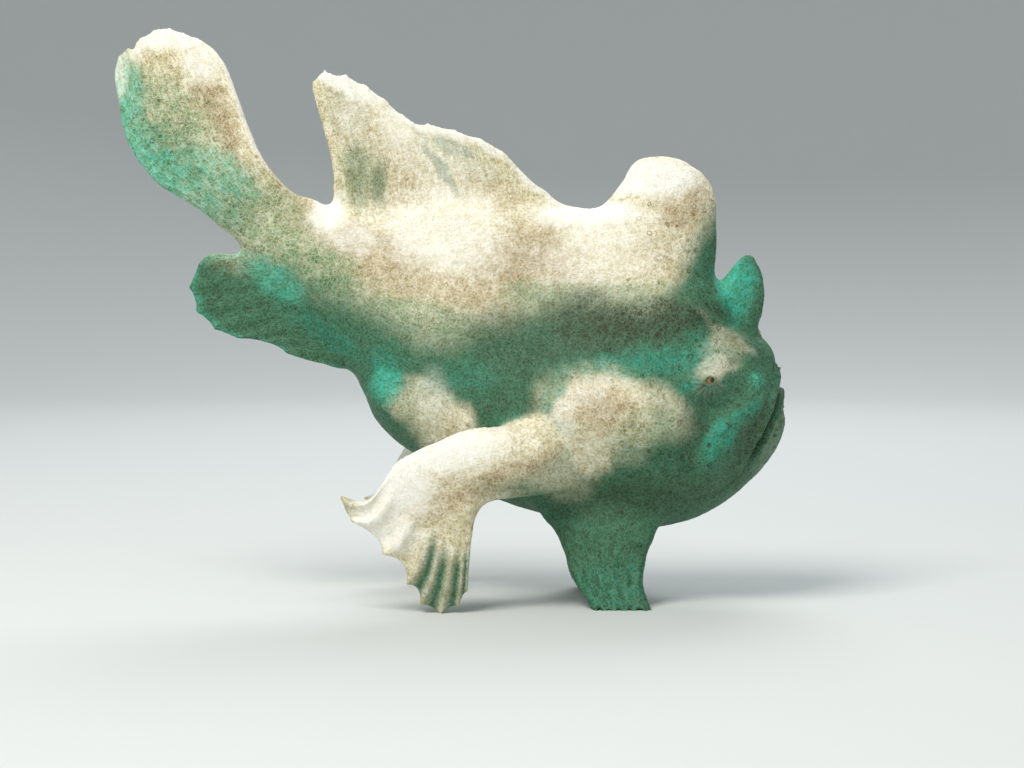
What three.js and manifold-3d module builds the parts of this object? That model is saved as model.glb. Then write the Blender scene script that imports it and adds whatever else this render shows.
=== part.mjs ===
// A giant frogfish, life size, perched still on its two pairs of leg-like fins.
// Millimetres, +Z up. The head points to +X, the fish's right side is -Y, and the floor is z = 0.
// Places along the body are [along, height]: along its axis from the tail base, and square to it.

import * as THREE from 'three';
import { mergeVertices } from 'three/addons/utils/BufferGeometryUtils.js';
import Module from 'manifold-3d';

const wasm = await Module();
wasm.setup();

const degrees = THREE.MathUtils.degToRad;
const smoothstep = THREE.MathUtils.smoothstep;

// Driving dimensions of the body
const GAP = 0.3;
const BODY_LENGTH = 201.4;
const BODY_PITCH = degrees(-20.65);
const TAIL_BASE = [-59.2, 139];
const TAIL_BEND_START = 40;
const TAIL_BEND = degrees(29.35) / 48;
const TAIL_END = -8;
const COLUMNS = 52;
const PEAR = 0.2;
const FULL_FLANK = 12;

// Outline and half width of the body at places along it, from the nose back
const NOSE_HEIGHT = -5;
const BACK = [
  [198.8, 2.6], [191.9, 14.2], [186.2, 22.4], [178.6, 27.2], [167.9, 31.7], [157.5, 38.7],
  [148.7, 44.7], [126.3, 50.4], [106.6, 49], [91.6, 45.8], [61.7, 39.4], [31.8, 26.3],
  [19.2, 20.1], [6.5, 9.1], [-8, 4],
];
const BELLY = [
  [199.8, -16.5], [197, -25.2], [190.3, -37.6], [175.9, -52], [164, -58.6], [149.4, -63.4],
  [129.1, -66.5], [110.4, -67.2], [89.2, -66], [68.2, -61.2], [55.4, -55.4], [45.8, -46],
  [31.8, -35.4], [13.9, -25.3], [-8, -26.4],
];
const HALF_WIDTH = [
  [199, 11], [195, 17], [190, 21.5], [180, 26.5], [165, 30], [150, 31], [127, 29], [92, 23],
  [62, 17.5], [35, 12], [0, 7.5], [-8, 6.5],
];

// Swellings and furrows of the flanks: each runs between two places and fades over its width
const FLANK_FORMS = [
  { from: [130, -20], to: [152, -15], rise: 6.5, width: 20 },
  { from: [95, 14], to: [148, 8], rise: -3.5, width: 13 },
  { from: [166, 9], to: [166, 8], rise: 4.5, width: 9 },
  { from: [153.6, 27.6], to: [177, 22.5], rise: 3.5, width: 5.5 },
  { from: [187, 3], to: [175, -27], rise: 2.5, width: 5.5 },
  { from: [170, -2], to: [171, -29], rise: -2.5, width: 5 },
  { from: [100, -45], to: [120, -48], rise: 3, width: 18 },
];

// The mouth: an arch round the blunt face, its corners low on each side
const MOUTH_ROW = 0.198;
const MOUTH_ROW_SCALE = 114;
const MOUTH_CORNER_DRIFT = 0.03;
const MOUTH_CORNER = [degrees(96), degrees(124)];
const MOUTH_FURROW = { depth: 2.8, width: 1.1 };
const MOUTH_LIPS = { rise: 1.3, apart: 2.6, width: 1.6 };
const JAW_CENTRE = [172, -8];

// Eyes and nostrils
const EYE = { place: [165.5, 4], radius: 3, sunk: 2.2, lidRing: 2.9, lidThickness: 0.8 };
const NOSTRILS = [
  { place: [182.5, 9.5], outer: 1.2, inner: 0.55, height: 1.3 },
  { place: [174.5, 12], outer: 1, inner: 0.5, height: 0.5 },
];
const NOSTRIL_SUNK = 2;
const NOSTRIL_DEPTH = 1.2;

// The cut between head and torso, and the one between torso and tail
const HEAD_CUT = { top: [50, 150], bottom: [84, 30] };
const TAIL_CUT = 40;

// Fins. Each sheet runs from its root to its tip, and from its first edge to its last, as [x, z]
const FIN_RIM = 0.3;
const NOTCH_ROUNDNESS = 2.4;
const evenRays = (count) => Array.from({ length: count }, (_, k) => (k + 0.5) / count);
const DORSAL_FIN = {
  rays: evenRays(13), steps: 8, lean: 1.2, ridge: 0.7, ridgeFrom: 0.2, notch: 0.03,
  rootHalf: 5.2, tipHalf: 1.1, sway: 2.2,
  root: [[-41, 142], [-20, 146], [10, 148], [50, 142]],
  tip: [
    [-51.4, 194], [-49.6, 200], [-44, 200.6], [-37, 198.6], [-28, 193.2], [-14, 181.9], [-1.9, 179.3],
    [18.1, 171.8], [31.3, 159], [42.7, 151.4], [53, 146],
  ],
  first: [[-43.5, 150], [-42.8, 158], [-44.8, 171], [-49.1, 186.1]],
  last: [],
};
const CAUDAL_FIN = {
  rays: evenRays(9), steps: 9, ridge: 0.8, ridgeFrom: 0.2, notch: 0.014,
  rootHalf: 4.6, tipHalf: 1, sway: 7,
  tip: [
    [-126.8, 197.7], [-126, 204.5], [-122, 209.5], [-112, 216], [-106.7, 216.9], [-99.9, 214.8],
    [-93.5, 212], [-88.3, 207.9],
  ],
  first: [[-93.6, 147.3], [-110.2, 157.8], [-121, 172.5], [-125, 188.7]],
  last: [[-64.8, 160.1], [-71.5, 169.9], [-79.7, 191], [-83.8, 201.5]],
};
const ANAL_FIN = {
  rays: evenRays(8), steps: 6, ridge: 0.7, ridgeFrom: 0.2, notch: 0.045,
  rootHalf: 4.6, tipHalf: 1, sway: -3,
  root: [[-29, 84], [-48.5, 110.5], [-63, 127], [-70, 132.5]],
  tip: [[-47, 89.2], [-58.3, 92], [-69.3, 97.3], [-84.4, 100], [-95, 108.5], [-97.6, 121], [-91, 130.4]],
  first: [[-39.7, 86.6]],
  last: [],
};
const WRIST = [[13.2, 37.6], [-8.5, 61.8]];
const PECTORAL_ARM = {
  columns: 20, steps: 8,
  root: [[58, 45], [58, 75]],
  tip: WRIST,
  first: [[42, 42], [24, 41.5]],
  last: [[42, 77], [27.4, 69.5], [9.2, 66.3]],
};
const PECTORAL_FIN = {
  rays: [0.015, 0.1, 0.2, 0.32, 0.44, 0.632, 0.856, 0.985],
  steps: 7, columnsPerRay: 6, ridge: 1.1, ridgeFrom: 0.3,
  notch: [0.045, 0.045, 0.05, 0.06, 0.1, 0.085, 0.045],
  tip: [
    [8.4, 8], [4.2, 0.4], [-1.5, -1.6], [-7, -0.6], [-12.4, 7.4], [-22, 20], [-34, 33], [-38.4, 37.6],
    [-37.8, 42.8],
  ],
  first: [[9.8, 27], [8.9, 17]],
  last: [[-17, 55.6], [-22.3, 47.8], [-26.4, 42.4], [-31, 40.6]],
};
const LEFT_HAND_SPREAD = 0.72;
const PELVIC_FIN = {
  rays: evenRays(6), columnsPerRay: 4, steps: 8, ridge: 1.1, ridgeFrom: 0.45, notch: 0.04,
  root: [[26, 44], [87, 42]],
  tip: [[55, -1.5], [60, -3], [65.5, -3.4], [71, -3], [75.8, -1.5]],
  first: [[33.5, 34], [39.8, 28], [43.8, 20], [46.5, 11.7]],
  last: [[80.5, 28.5], [76, 22], [73.8, 15], [73, 8]],
};

// How far the limbs stand out from the middle plane, and their half thickness, from root to tip
const WRIST_REACH = 38.4;
const WRIST_HALF_THICKNESS = 5.8;
const ARM_REACH = [[0, 16], [0.35, 27], [0.7, 35], [1, WRIST_REACH]];
const ARM_HALF_THICKNESS = [[0, 11], [0.4, 9.8], [0.75, 7.4], [1, WRIST_HALF_THICKNESS]];
const HAND_REACH = [[0, WRIST_REACH], [0.5, 41], [1, 40.5]];
const HAND_HALF_THICKNESS = [[0, WRIST_HALF_THICKNESS], [0.45, 3.4], [0.8, 1.9], [1, 1.2]];
const LIMB_RIM = 0.4;
const PELVIC_REACH = [[0, 12], [0.4, 20], [0.7, 26], [1, 34]];
const PELVIC_HALF_THICKNESS = [[0, 9], [0.35, 7.5], [0.65, 4.8], [1, 2.6]];

// The two thick head spines, as places [z, x] of their rear and front edge, and [z, half width]
const THIRD_SPINE = {
  top: 167.3, foot: 112, middle: 80,
  rear: [
    [166.3, 73], [163.9, 69.9], [159, 67.3], [154.1, 63.5], [149.2, 58.2], [145.4, 54], [138, 48],
    [112, 44],
  ],
  front: [
    [166.3, 87.5], [163.9, 91.8], [161.2, 96], [153.3, 100.9], [147.3, 102.1], [128, 101.8], [112, 100],
  ],
  halfWidth: [
    [166.3, 5], [163, 7.5], [158, 9.3], [150, 10.8], [142, 12.8], [132, 14.6], [120, 15], [112, 15],
  ],
};
const SECOND_SPINE = {
  top: 130.6, foot: 92, middle: 114,
  rear: [[129.6, 111.8], [127.4, 109.4], [124.6, 106], [121.7, 103.2], [116, 99], [104, 97], [92, 96]],
  front: [
    [129.6, 116], [127.4, 117.3], [124.6, 118.9], [121, 119.8], [116, 120.2], [108, 119.4],
    [101, 117.6], [92, 116],
  ],
  halfWidth: [[129.6, 1.7], [127, 2.3], [122, 3], [115, 4.2], [108, 6], [100, 8], [92, 9]],
};
const SPINE_COLUMNS = 20;
const SPINE_ROWS = 12;

// The rod of the lure lies back along the left side of the head spines, with its tuft at the end
const LURE_ROD = {
  route: [
    [117, 1, 92], [119.8, 4.4, 98], [116.6, 8.6, 105], [110.5, 11.4, 112.5], [103, 15, 119.5],
    [94.5, 18, 126],
  ],
  rootRadius: 0.6, tipRadius: 0.42, steps: 13, sides: 6,
};
const LURE_TUFT = { threads: 4, length: 5, radius: 0.8, overlap: 0.8, spread: degrees(32) };

// Shapes of curves and surfaces

// A smooth curve through rising places that never overshoots them
function smoothProfile(points) {
  const last = points.length - 1;
  const steps = [];
  for (let i = 0; i < last; i += 1) {
    steps.push((points[i + 1][1] - points[i][1]) / (points[i + 1][0] - points[i][0]));
  }
  const slopes = points.map((_, i) => {
    if (i === 0) return steps[0];
    if (i === last) return steps[last - 1];
    if (steps[i - 1] * steps[i] <= 0) return 0;
    return (2 * steps[i - 1] * steps[i]) / (steps[i - 1] + steps[i]);
  });
  return (x) => {
    let i = 0;
    while (i < last - 1 && x > points[i + 1][0]) i += 1;
    const span = points[i + 1][0] - points[i][0];
    const t = THREE.MathUtils.clamp((x - points[i][0]) / span, 0, 1);
    const rise = t * t * (3 - 2 * t);
    const lead = t * (1 - t) * (1 - t);
    const trail = t * t * (1 - t);
    const between = points[i][1] * (1 - rise) + points[i + 1][1] * rise;
    return between + span * (slopes[i] * lead - slopes[i + 1] * trail);
  };
}

// Rows are counted by the square root of the distance from a round end, so that the end is blunt
const bodyRow = (along) => Math.sqrt(1 - along / BODY_LENGTH);
const alongAt = (row) => BODY_LENGTH * (1 - row * row);

function bodyProfile(atNose, places) {
  return smoothProfile([[0, atNose], ...places.map(([along, value]) => [bodyRow(along), value])]);
}

const backLine = bodyProfile(NOSE_HEIGHT, BACK);
const bellyLine = bodyProfile(NOSE_HEIGHT, BELLY);
const halfWidth = bodyProfile(0, HALF_WIDTH);

// The body's axis, straight in front and bent up at the tail: its place, and the way forward
function bodyAxis(along) {
  const forward = [Math.cos(BODY_PITCH), Math.sin(BODY_PITCH)];
  const straight = Math.max(along, TAIL_BEND_START);
  const x = TAIL_BASE[0] + straight * forward[0];
  const z = TAIL_BASE[1] + straight * forward[1];
  if (along >= TAIL_BEND_START) return { x, z, forward };
  const back = Math.PI + BODY_PITCH;
  const turned = back - TAIL_BEND * (TAIL_BEND_START - along);
  return {
    x: x - (Math.sin(turned) - Math.sin(back)) / TAIL_BEND,
    z: z + (Math.cos(turned) - Math.cos(back)) / TAIL_BEND,
    forward: [-Math.cos(turned), -Math.sin(turned)],
  };
}

function bodyPlace(along, height, y) {
  const { x, z, forward } = bodyAxis(along);
  return new THREE.Vector3(x - height * forward[1], y, z + height * forward[0]);
}

function flankRise(along, height) {
  let rise = 0;
  for (const form of FLANK_FORMS) {
    const run = [form.to[0] - form.from[0], form.to[1] - form.from[1]];
    const offset = [along - form.from[0], height - form.from[1]];
    const share = (offset[0] * run[0] + offset[1] * run[1]) / (run[0] * run[0] + run[1] * run[1]);
    const t = THREE.MathUtils.clamp(share, 0, 1);
    const distance = Math.hypot(offset[0] - t * run[0], offset[1] - t * run[1]);
    rise += form.rise * Math.exp(-((distance / form.width) ** 2));
  }
  return rise;
}

// The mouth's furrow and lips, by the distance from the line of the mouth
function mouthRise(row, turn) {
  const open = 1 - smoothstep(Math.abs(turn), ...MOUTH_CORNER);
  const distance = (row - mouthRow(turn)) * MOUTH_ROW_SCALE;
  const furrow = -MOUTH_FURROW.depth * Math.exp(-((distance / MOUTH_FURROW.width) ** 2));
  const fromLip = (Math.abs(distance) - MOUTH_LIPS.apart) / MOUTH_LIPS.width;
  const lips = MOUTH_LIPS.rise * Math.exp(-(fromLip ** 2));
  return open * (furrow + lips);
}

function mouthRow(turn) {
  return MOUTH_ROW + MOUTH_CORNER_DRIFT * smoothstep(Math.abs(turn), degrees(60), degrees(120));
}

// A place on the skin. turn goes round from the back, -180 to 180 degrees, positive on the right
function skinPlace(row, turn) {
  const along = alongAt(row);
  const middle = (backLine(row) + bellyLine(row)) / 2;
  const reach = (backLine(row) - bellyLine(row)) / 2;
  const height = middle + reach * Math.cos(turn);
  const side = Math.sin(turn);
  const flank = smoothstep(Math.abs(side), 0.15, 0.75);
  const out = halfWidth(row) * Math.abs(side) * (1 - PEAR * Math.cos(turn));
  const width = out + flank * flankRise(along, height) * Math.min(1, out / FULL_FLANK);
  const place = bodyPlace(along, height, -Math.sign(side) * width);
  const fromJaw = place.clone().sub(bodyPlace(...JAW_CENTRE, 0)).normalize();
  return place.addScaledVector(fromJaw, mouthRise(row, turn));
}

// Turns a place [along, height] of the flank into its row and its turn on the right side
function flankAt([along, height]) {
  const row = bodyRow(along);
  const middle = (backLine(row) + bellyLine(row)) / 2;
  const reach = (backLine(row) - bellyLine(row)) / 2;
  return { row, turn: Math.acos((height - middle) / reach) };
}

function skinNormal(row, turn) {
  const small = 0.004;
  const lengthwise = skinPlace(row + small, turn).sub(skinPlace(row - small, turn));
  const round = skinPlace(row, turn + small).sub(skinPlace(row, turn - small));
  return lengthwise.cross(round).normalize();
}

// Closed meshes

function meshFrom(vertices, faces) {
  let volume = 0;
  for (const [a, b, c] of faces) {
    volume += vertices[a].dot(vertices[b].clone().cross(vertices[c]));
  }
  const outward = volume > 0 ? faces : faces.map(([a, b, c]) => [a, c, b]);
  const geometry = new THREE.BufferGeometry().setFromPoints(vertices);
  geometry.setIndex(outward.flat());
  return geometry;
}

// Skins a row of rings and closes both ends with a fan
function closedLoft(rings, startPole, endPole) {
  const sides = rings[0].length;
  const vertices = [...rings.flat(), startPole, endPole];
  const start = rings.length * sides;
  const faces = [];
  for (let k = 0; k < sides; k += 1) {
    const next = (k + 1) % sides;
    const lastRing = start - sides;
    faces.push([start, next, k], [start + 1, lastRing + k, lastRing + next]);
    for (let i = 0; i < rings.length - 1; i += 1) {
      const a = i * sides + k;
      const b = i * sides + next;
      faces.push([a, b, b + sides], [a, b + sides, a + sides]);
    }
  }
  return meshFrom(vertices, faces);
}

// A sheet with two faces, split alike, and a rim all round. place(u, v, face) has face 1 or -1
function closedSheet(columns, along, place) {
  const across = columns.length - 1;
  const vertices = [];
  for (const face of [1, -1]) {
    for (let i = 0; i <= along; i += 1) {
      for (const u of columns) vertices.push(place(u, i / along, face));
    }
  }
  const back = vertices.length / 2;
  const at = (k, i) => i * (across + 1) + k;
  const faces = [];
  for (let i = 0; i < along; i += 1) {
    for (let k = 0; k < across; k += 1) {
      const corners = [at(k, i), at(k + 1, i), at(k + 1, i + 1), at(k, i + 1)];
      faces.push([corners[0], corners[1], corners[2]], [corners[0], corners[2], corners[3]]);
      const behind = corners.map((corner) => corner + back);
      faces.push([behind[0], behind[2], behind[1]], [behind[0], behind[3], behind[2]]);
    }
  }
  const rim = [];
  for (let k = 0; k < across; k += 1) rim.push(at(k, 0));
  for (let i = 0; i < along; i += 1) rim.push(at(across, i));
  for (let k = across; k > 0; k -= 1) rim.push(at(k, along));
  for (let i = along; i > 0; i -= 1) rim.push(at(0, i));
  rim.forEach((a, index) => {
    const b = rim[(index + 1) % rim.length];
    faces.push([b, a, a + back], [b, a + back, b + back]);
  });
  return meshFrom(vertices, faces);
}

// A smooth sheet between four border curves
function finPatch({ root, tip, first, last, lean = 1 }) {
  const curve = (points) => new THREE.SplineCurve(points.map((point) => new THREE.Vector2(...point)));
  const rootCurve = curve(root);
  const tipCurve = curve(tip);
  const firstCurve = curve([root[0], ...first, tip[0]]);
  const lastCurve = curve([root[root.length - 1], ...last, tip[tip.length - 1]]);
  const corner = (points, index) => new THREE.Vector2(...points.at(index));
  return (u, v) => {
    const place = new THREE.Vector2();
    place.addScaledVector(rootCurve.getPointAt(u), 1 - v);
    place.addScaledVector(tipCurve.getPointAt(u ** lean), v);
    place.addScaledVector(firstCurve.getPointAt(v), 1 - u);
    place.addScaledVector(lastCurve.getPointAt(v), u);
    place.addScaledVector(corner(root, 0), -(1 - u) * (1 - v));
    place.addScaledVector(corner(root, -1), -u * (1 - v));
    place.addScaledVector(corner(tip, 0), -(1 - u) * v);
    place.addScaledVector(corner(tip, -1), -u * v);
    return place;
  };
}

// Where the columns of a fin's sheet lie: on each ray, and evenly between two
function columnPlaces({ rays, columns, columnsPerRay = 2 }) {
  if (!rays) return Array.from({ length: columns + 1 }, (_, k) => k / columns);
  const margin = Math.max(1, Math.round((columnsPerRay * rays[0]) / (rays[1] - rays[0])));
  const ends = [0, ...rays, 1];
  const places = [0];
  for (let k = 1; k < ends.length; k += 1) {
    const count = k === 1 || k === ends.length - 1 ? margin : columnsPerRay;
    for (let step = 1; step <= count; step += 1) places.push(mix(ends[k - 1], ends[k], step / count));
  }
  return places;
}

// How near a ray is, from 0 to 1, and how deep the notch between two is, at u across a fin
function rayAt({ rays, notch }, u) {
  if (!rays) return { near: 1, depth: 0 };
  const next = Math.min(Math.max(rays.filter((ray) => ray < u).length, 1), rays.length - 1);
  const gap = rays[next] - rays[next - 1];
  const t = (u - rays[next - 1]) / gap;
  const nearest = Math.min(...rays.map((ray) => Math.abs(u - ray)));
  const deepest = Array.isArray(notch) ? notch[next - 1] : notch;
  return {
    near: 0.5 + 0.5 * Math.cos(Math.PI * Math.min(1, (2 * nearest) / gap)),
    depth: deepest * Math.max(0, 1 - Math.abs(2 * t - 1) ** NOTCH_ROUNDNESS),
  };
}

// A fin with its rays as ridges: sway gives its middle's y, and thickness half of its depth
function finSheet(fin, sway, thickness) {
  const patch = finPatch(fin);
  const { spread = 1, ridge = 0, ridgeFrom = 0 } = fin;
  return closedSheet(columnPlaces(fin), fin.steps, (u, v, face) => {
    const { near, depth } = rayAt(fin, u);
    const { x, y: z } = patch(0.5 + (u - 0.5) * mix(1, spread, v * v), v - depth * v ** 5);
    const raised = ridge * near * smoothstep(v, ridgeFrom, ridgeFrom + 0.35);
    return new THREE.Vector3(x, sway(u, v) - face * (thickness(u, v) + raised), z);
  });
}

const roundEdge = (u) => Math.sqrt(Math.max(0, 1 - (2 * u - 1) ** 2));
const mix = (a, b, t) => a + (b - a) * t;

// Joining and cutting

function solidOf(geometry) {
  const bare = geometry.clone();
  bare.deleteAttribute('normal');
  bare.deleteAttribute('uv');
  const merged = mergeVertices(bare);
  return new wasm.Manifold(new wasm.Mesh({
    numProp: 3,
    vertProperties: Float32Array.from(merged.attributes.position.array),
    triVerts: Uint32Array.from(merged.index.array),
  }));
}

function largestOf(solid) {
  return solid.decompose().reduce((best, piece) => (piece.volume() > best.volume() ? piece : best));
}

function geometryOf(solid) {
  const mesh = largestOf(solid).getMesh();
  const geometry = new THREE.BufferGeometry();
  geometry.setAttribute('position', new THREE.BufferAttribute(Float32Array.from(mesh.vertProperties), 3));
  geometry.setIndex(new THREE.BufferAttribute(Uint32Array.from(mesh.triVerts), 1));
  geometry.computeVertexNormals();
  return geometry;
}

// The same closed mesh, swollen by the gap that neighbours keep
function swollen(geometry) {
  const grown = geometry.clone();
  grown.computeVertexNormals();
  const { position, normal } = grown.attributes;
  for (let i = 0; i < position.count; i += 1) {
    const place = new THREE.Vector3().fromBufferAttribute(position, i);
    place.addScaledVector(new THREE.Vector3().fromBufferAttribute(normal, i), GAP);
    position.setXYZ(i, place.x, place.y, place.z);
  }
  return solidOf(grown);
}

// Keeps the side of an upright plane, through two places [x, z], that lies on the right of their way
function trimmed(solid, [x1, z1], [x2, z2], inset) {
  const length = Math.hypot(x2 - x1, z2 - z1);
  const normal = [(z2 - z1) / length, 0, -(x2 - x1) / length];
  return solid.trimByPlane(normal, x1 * normal[0] + z1 * normal[2] + inset);
}

const aboveFloor = (solid) => solid.trimByPlane([0, 0, 1], 0);

function mirrored(geometry) {
  return geometry.clone().scale(1, -1, 1);
}

// The body and its parts

function bodyRows() {
  const rows = [0.055, 0.1, 0.135];
  for (const distance of [-4.6, -2.6, -1.2, 0, 1.2, 2.6, 4.6]) {
    rows.push(MOUTH_ROW + distance / MOUTH_ROW_SCALE);
  }
  for (let along = 187.5; along > 150; along -= 4.2) rows.push(bodyRow(along));
  for (let along = 148; along > TAIL_END + 3; along -= 7.8) rows.push(bodyRow(along));
  rows.push(bodyRow(TAIL_END));
  return rows;
}

// Rows near the mouth follow its line
function skinRow(row, turn) {
  const follow = Math.exp(-(((row - MOUTH_ROW) / 0.075) ** 2));
  return row + follow * (mouthRow(turn) - MOUTH_ROW);
}

function bodyGeometry() {
  const rings = bodyRows().map((row) => {
    const ring = [];
    for (let k = 0; k < COLUMNS; k += 1) {
      const turn = (2 * Math.PI * (k + 0.5)) / COLUMNS - Math.PI;
      ring.push(skinPlace(skinRow(row, turn), turn));
    }
    return ring;
  });
  const tailMiddle = (backLine(bodyRow(TAIL_END)) + bellyLine(bodyRow(TAIL_END))) / 2;
  return closedLoft(rings, bodyPlace(BODY_LENGTH, NOSE_HEIGHT, 0), bodyPlace(TAIL_END, tailMiddle, 0));
}

function eyeCentre() {
  const { row, turn } = flankAt(EYE.place);
  const out = skinNormal(row, turn);
  return { out, centre: skinPlace(row, turn).addScaledVector(out, -EYE.sunk) };
}

// A round piece made about +Z, set at a place and turned to point along out
function setOut(geometry, place, out) {
  const turn = new THREE.Quaternion().setFromUnitVectors(new THREE.Vector3(0, 0, 1), out);
  return geometry.applyQuaternion(turn).translate(place.x, place.y, place.z);
}

const eyeball = (radius) => {
  const { centre, out } = eyeCentre();
  return setOut(new THREE.SphereGeometry(radius, 12, 8), centre, out);
};

function lidRing() {
  const { centre, out } = eyeCentre();
  const ring = new THREE.TorusGeometry(EYE.lidRing, EYE.lidThickness, 6, 14);
  return setOut(ring, centre.addScaledVector(out, EYE.sunk - 0.2), out);
}

function nostrilTube({ place, outer, inner, height }) {
  const floor = height - NOSTRIL_DEPTH;
  const outline = [
    [0, -NOSTRIL_SUNK], [outer * 1.5, -NOSTRIL_SUNK], [outer, height], [inner, height], [inner, floor],
    [0, floor],
  ];
  const tube = new THREE.LatheGeometry(outline.map((point) => new THREE.Vector2(...point)), 8);
  const { row, turn } = flankAt(place);
  return setOut(tube.rotateX(Math.PI / 2), skinPlace(row, turn), skinNormal(row, turn));
}

function headSolid(body) {
  let head = trimmed(body, HEAD_CUT.bottom, HEAD_CUT.top, GAP / 2);
  for (const side of [(geometry) => geometry, mirrored]) {
    const added = [lidRing(), ...NOSTRILS.map(nostrilTube)];
    for (const piece of added) head = head.add(solidOf(facingOut(side(piece))));
    head = head.subtract(solidOf(facingOut(side(eyeball(EYE.radius + GAP)))));
  }
  return head;
}

// Mirroring or turning a lathe over leaves its faces pointing in: this puts them right
function facingOut(geometry) {
  const bare = geometry.clone();
  bare.deleteAttribute('normal');
  bare.deleteAttribute('uv');
  const merged = mergeVertices(bare);
  const { position } = merged.attributes;
  const vertices = [];
  for (let i = 0; i < position.count; i += 1) {
    vertices.push(new THREE.Vector3().fromBufferAttribute(position, i));
  }
  const faces = [];
  const index = merged.index.array;
  for (let i = 0; i < index.length; i += 3) {
    const [a, b, c] = [index[i], index[i + 1], index[i + 2]];
    if (a !== b && b !== c && c !== a) faces.push([a, b, c]);
  }
  return meshFrom(vertices, faces);
}

// Fins

function dorsalFin() {
  const { rootHalf, tipHalf } = DORSAL_FIN;
  const sway = (u, v) => DORSAL_FIN.sway * Math.sin(Math.PI * (1.6 * u + 0.2)) * v * v;
  const thickness = (u, v) => {
    const blade = mix(rootHalf, tipHalf, v ** 0.7);
    return blade * mix(0.45, 1, smoothstep(u, 0, 0.12)) + FIN_RIM;
  };
  return finSheet(DORSAL_FIN, sway, thickness);
}

function caudalFin() {
  const row = bodyRow(TAIL_END);
  const foot = (height) => {
    const { x, z } = bodyPlace(TAIL_END - GAP, height, 0);
    return [x, z];
  };
  const root = [foot(bellyLine(row)), foot(backLine(row))];
  const { rootHalf, tipHalf } = CAUDAL_FIN;
  const sway = (u, v) => CAUDAL_FIN.sway * v * v;
  const thickness = (u, v) => {
    const tail = halfWidth(row) * roundEdge(u);
    const blade = mix(rootHalf, tipHalf, v) * mix(0.45, 1, roundEdge(u));
    return mix(tail, blade, smoothstep(v, 0, 0.5)) + FIN_RIM;
  };
  return finSheet({ ...CAUDAL_FIN, root }, sway, thickness);
}

function analFin() {
  const { rootHalf, tipHalf } = ANAL_FIN;
  const sway = (u, v) => ANAL_FIN.sway * v * v;
  const thickness = (u, v) => mix(rootHalf, tipHalf, v ** 0.8) * mix(0.5, 1, roundEdge(u)) + FIN_RIM;
  return finSheet(ANAL_FIN, sway, thickness);
}

// A limb's sheet, round in section at its root and flatter at its tip
function limbSheet(limb, reachPlaces, thicknessPlaces, flatFrom) {
  const reach = smoothProfile(reachPlaces);
  const depth = smoothProfile(thicknessPlaces);
  const sway = (u, v) => -reach(v);
  const round = (u, v) => mix(roundEdge(u), 1, 0.6 * smoothstep(v, flatFrom, 1));
  return finSheet(limb, sway, (u, v) => depth(v) * round(u, v) + LIMB_RIM);
}

function pectoralArm() {
  return limbSheet(PECTORAL_ARM, ARM_REACH, ARM_HALF_THICKNESS, 1);
}

function pectoralFin(spread) {
  const [inner, outer] = WRIST.map((place) => new THREE.Vector2(...place));
  const out = outer.clone().sub(inner).normalize().rotateAround(new THREE.Vector2(), Math.PI / 2);
  const root = [inner, outer].map((place) => place.addScaledVector(out, GAP).toArray());
  return limbSheet({ ...PECTORAL_FIN, root, spread }, HAND_REACH, HAND_HALF_THICKNESS, 0.1);
}

function pelvicFin() {
  return limbSheet(PELVIC_FIN, PELVIC_REACH, PELVIC_HALF_THICKNESS, 0.55);
}

function headSpine({ top, foot, middle, rear, front, halfWidth: widths }) {
  const rowOf = (z) => Math.sqrt((top - z) / (top - foot));
  const profile = (atTop, places) => {
    return smoothProfile([[0, atTop], ...places.map(([z, value]) => [rowOf(z), value])]);
  };
  const rearEdge = profile(middle, rear);
  const frontEdge = profile(middle, front);
  const halfDepth = profile(0, widths);
  const rings = [];
  for (let i = 1; i <= SPINE_ROWS; i += 1) {
    const row = i / SPINE_ROWS;
    const z = top - (top - foot) * row * row;
    const centre = (rearEdge(row) + frontEdge(row)) / 2;
    const half = (frontEdge(row) - rearEdge(row)) / 2;
    const ring = [];
    for (let k = 0; k < SPINE_COLUMNS; k += 1) {
      const turn = (2 * Math.PI * k) / SPINE_COLUMNS;
      ring.push(new THREE.Vector3(centre + half * Math.cos(turn), halfDepth(row) * Math.sin(turn), z));
    }
    rings.push(ring);
  }
  const footMiddle = (rearEdge(1) + frontEdge(1)) / 2;
  return closedLoft(rings, new THREE.Vector3(middle, 0, top), new THREE.Vector3(footMiddle, 0, foot));
}

// A round rod that tapers along a route, and the tuft of threads at its end
function lureRod() {
  const { route, rootRadius, tipRadius, steps, sides } = LURE_ROD;
  const curve = new THREE.CatmullRomCurve3(route.map((place) => new THREE.Vector3(...place)));
  const frames = curve.computeFrenetFrames(steps);
  const rings = [];
  for (let i = 0; i <= steps; i += 1) {
    const radius = mix(rootRadius, tipRadius, i / steps);
    const centre = curve.getPointAt(i / steps);
    const ring = [];
    for (let k = 0; k < sides; k += 1) {
      const turn = (2 * Math.PI * k) / sides;
      const place = centre.clone().addScaledVector(frames.normals[i], radius * Math.cos(turn));
      ring.push(place.addScaledVector(frames.binormals[i], radius * Math.sin(turn)));
    }
    rings.push(ring);
  }
  return closedLoft(rings, curve.getPointAt(0), curve.getPointAt(1));
}

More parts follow.
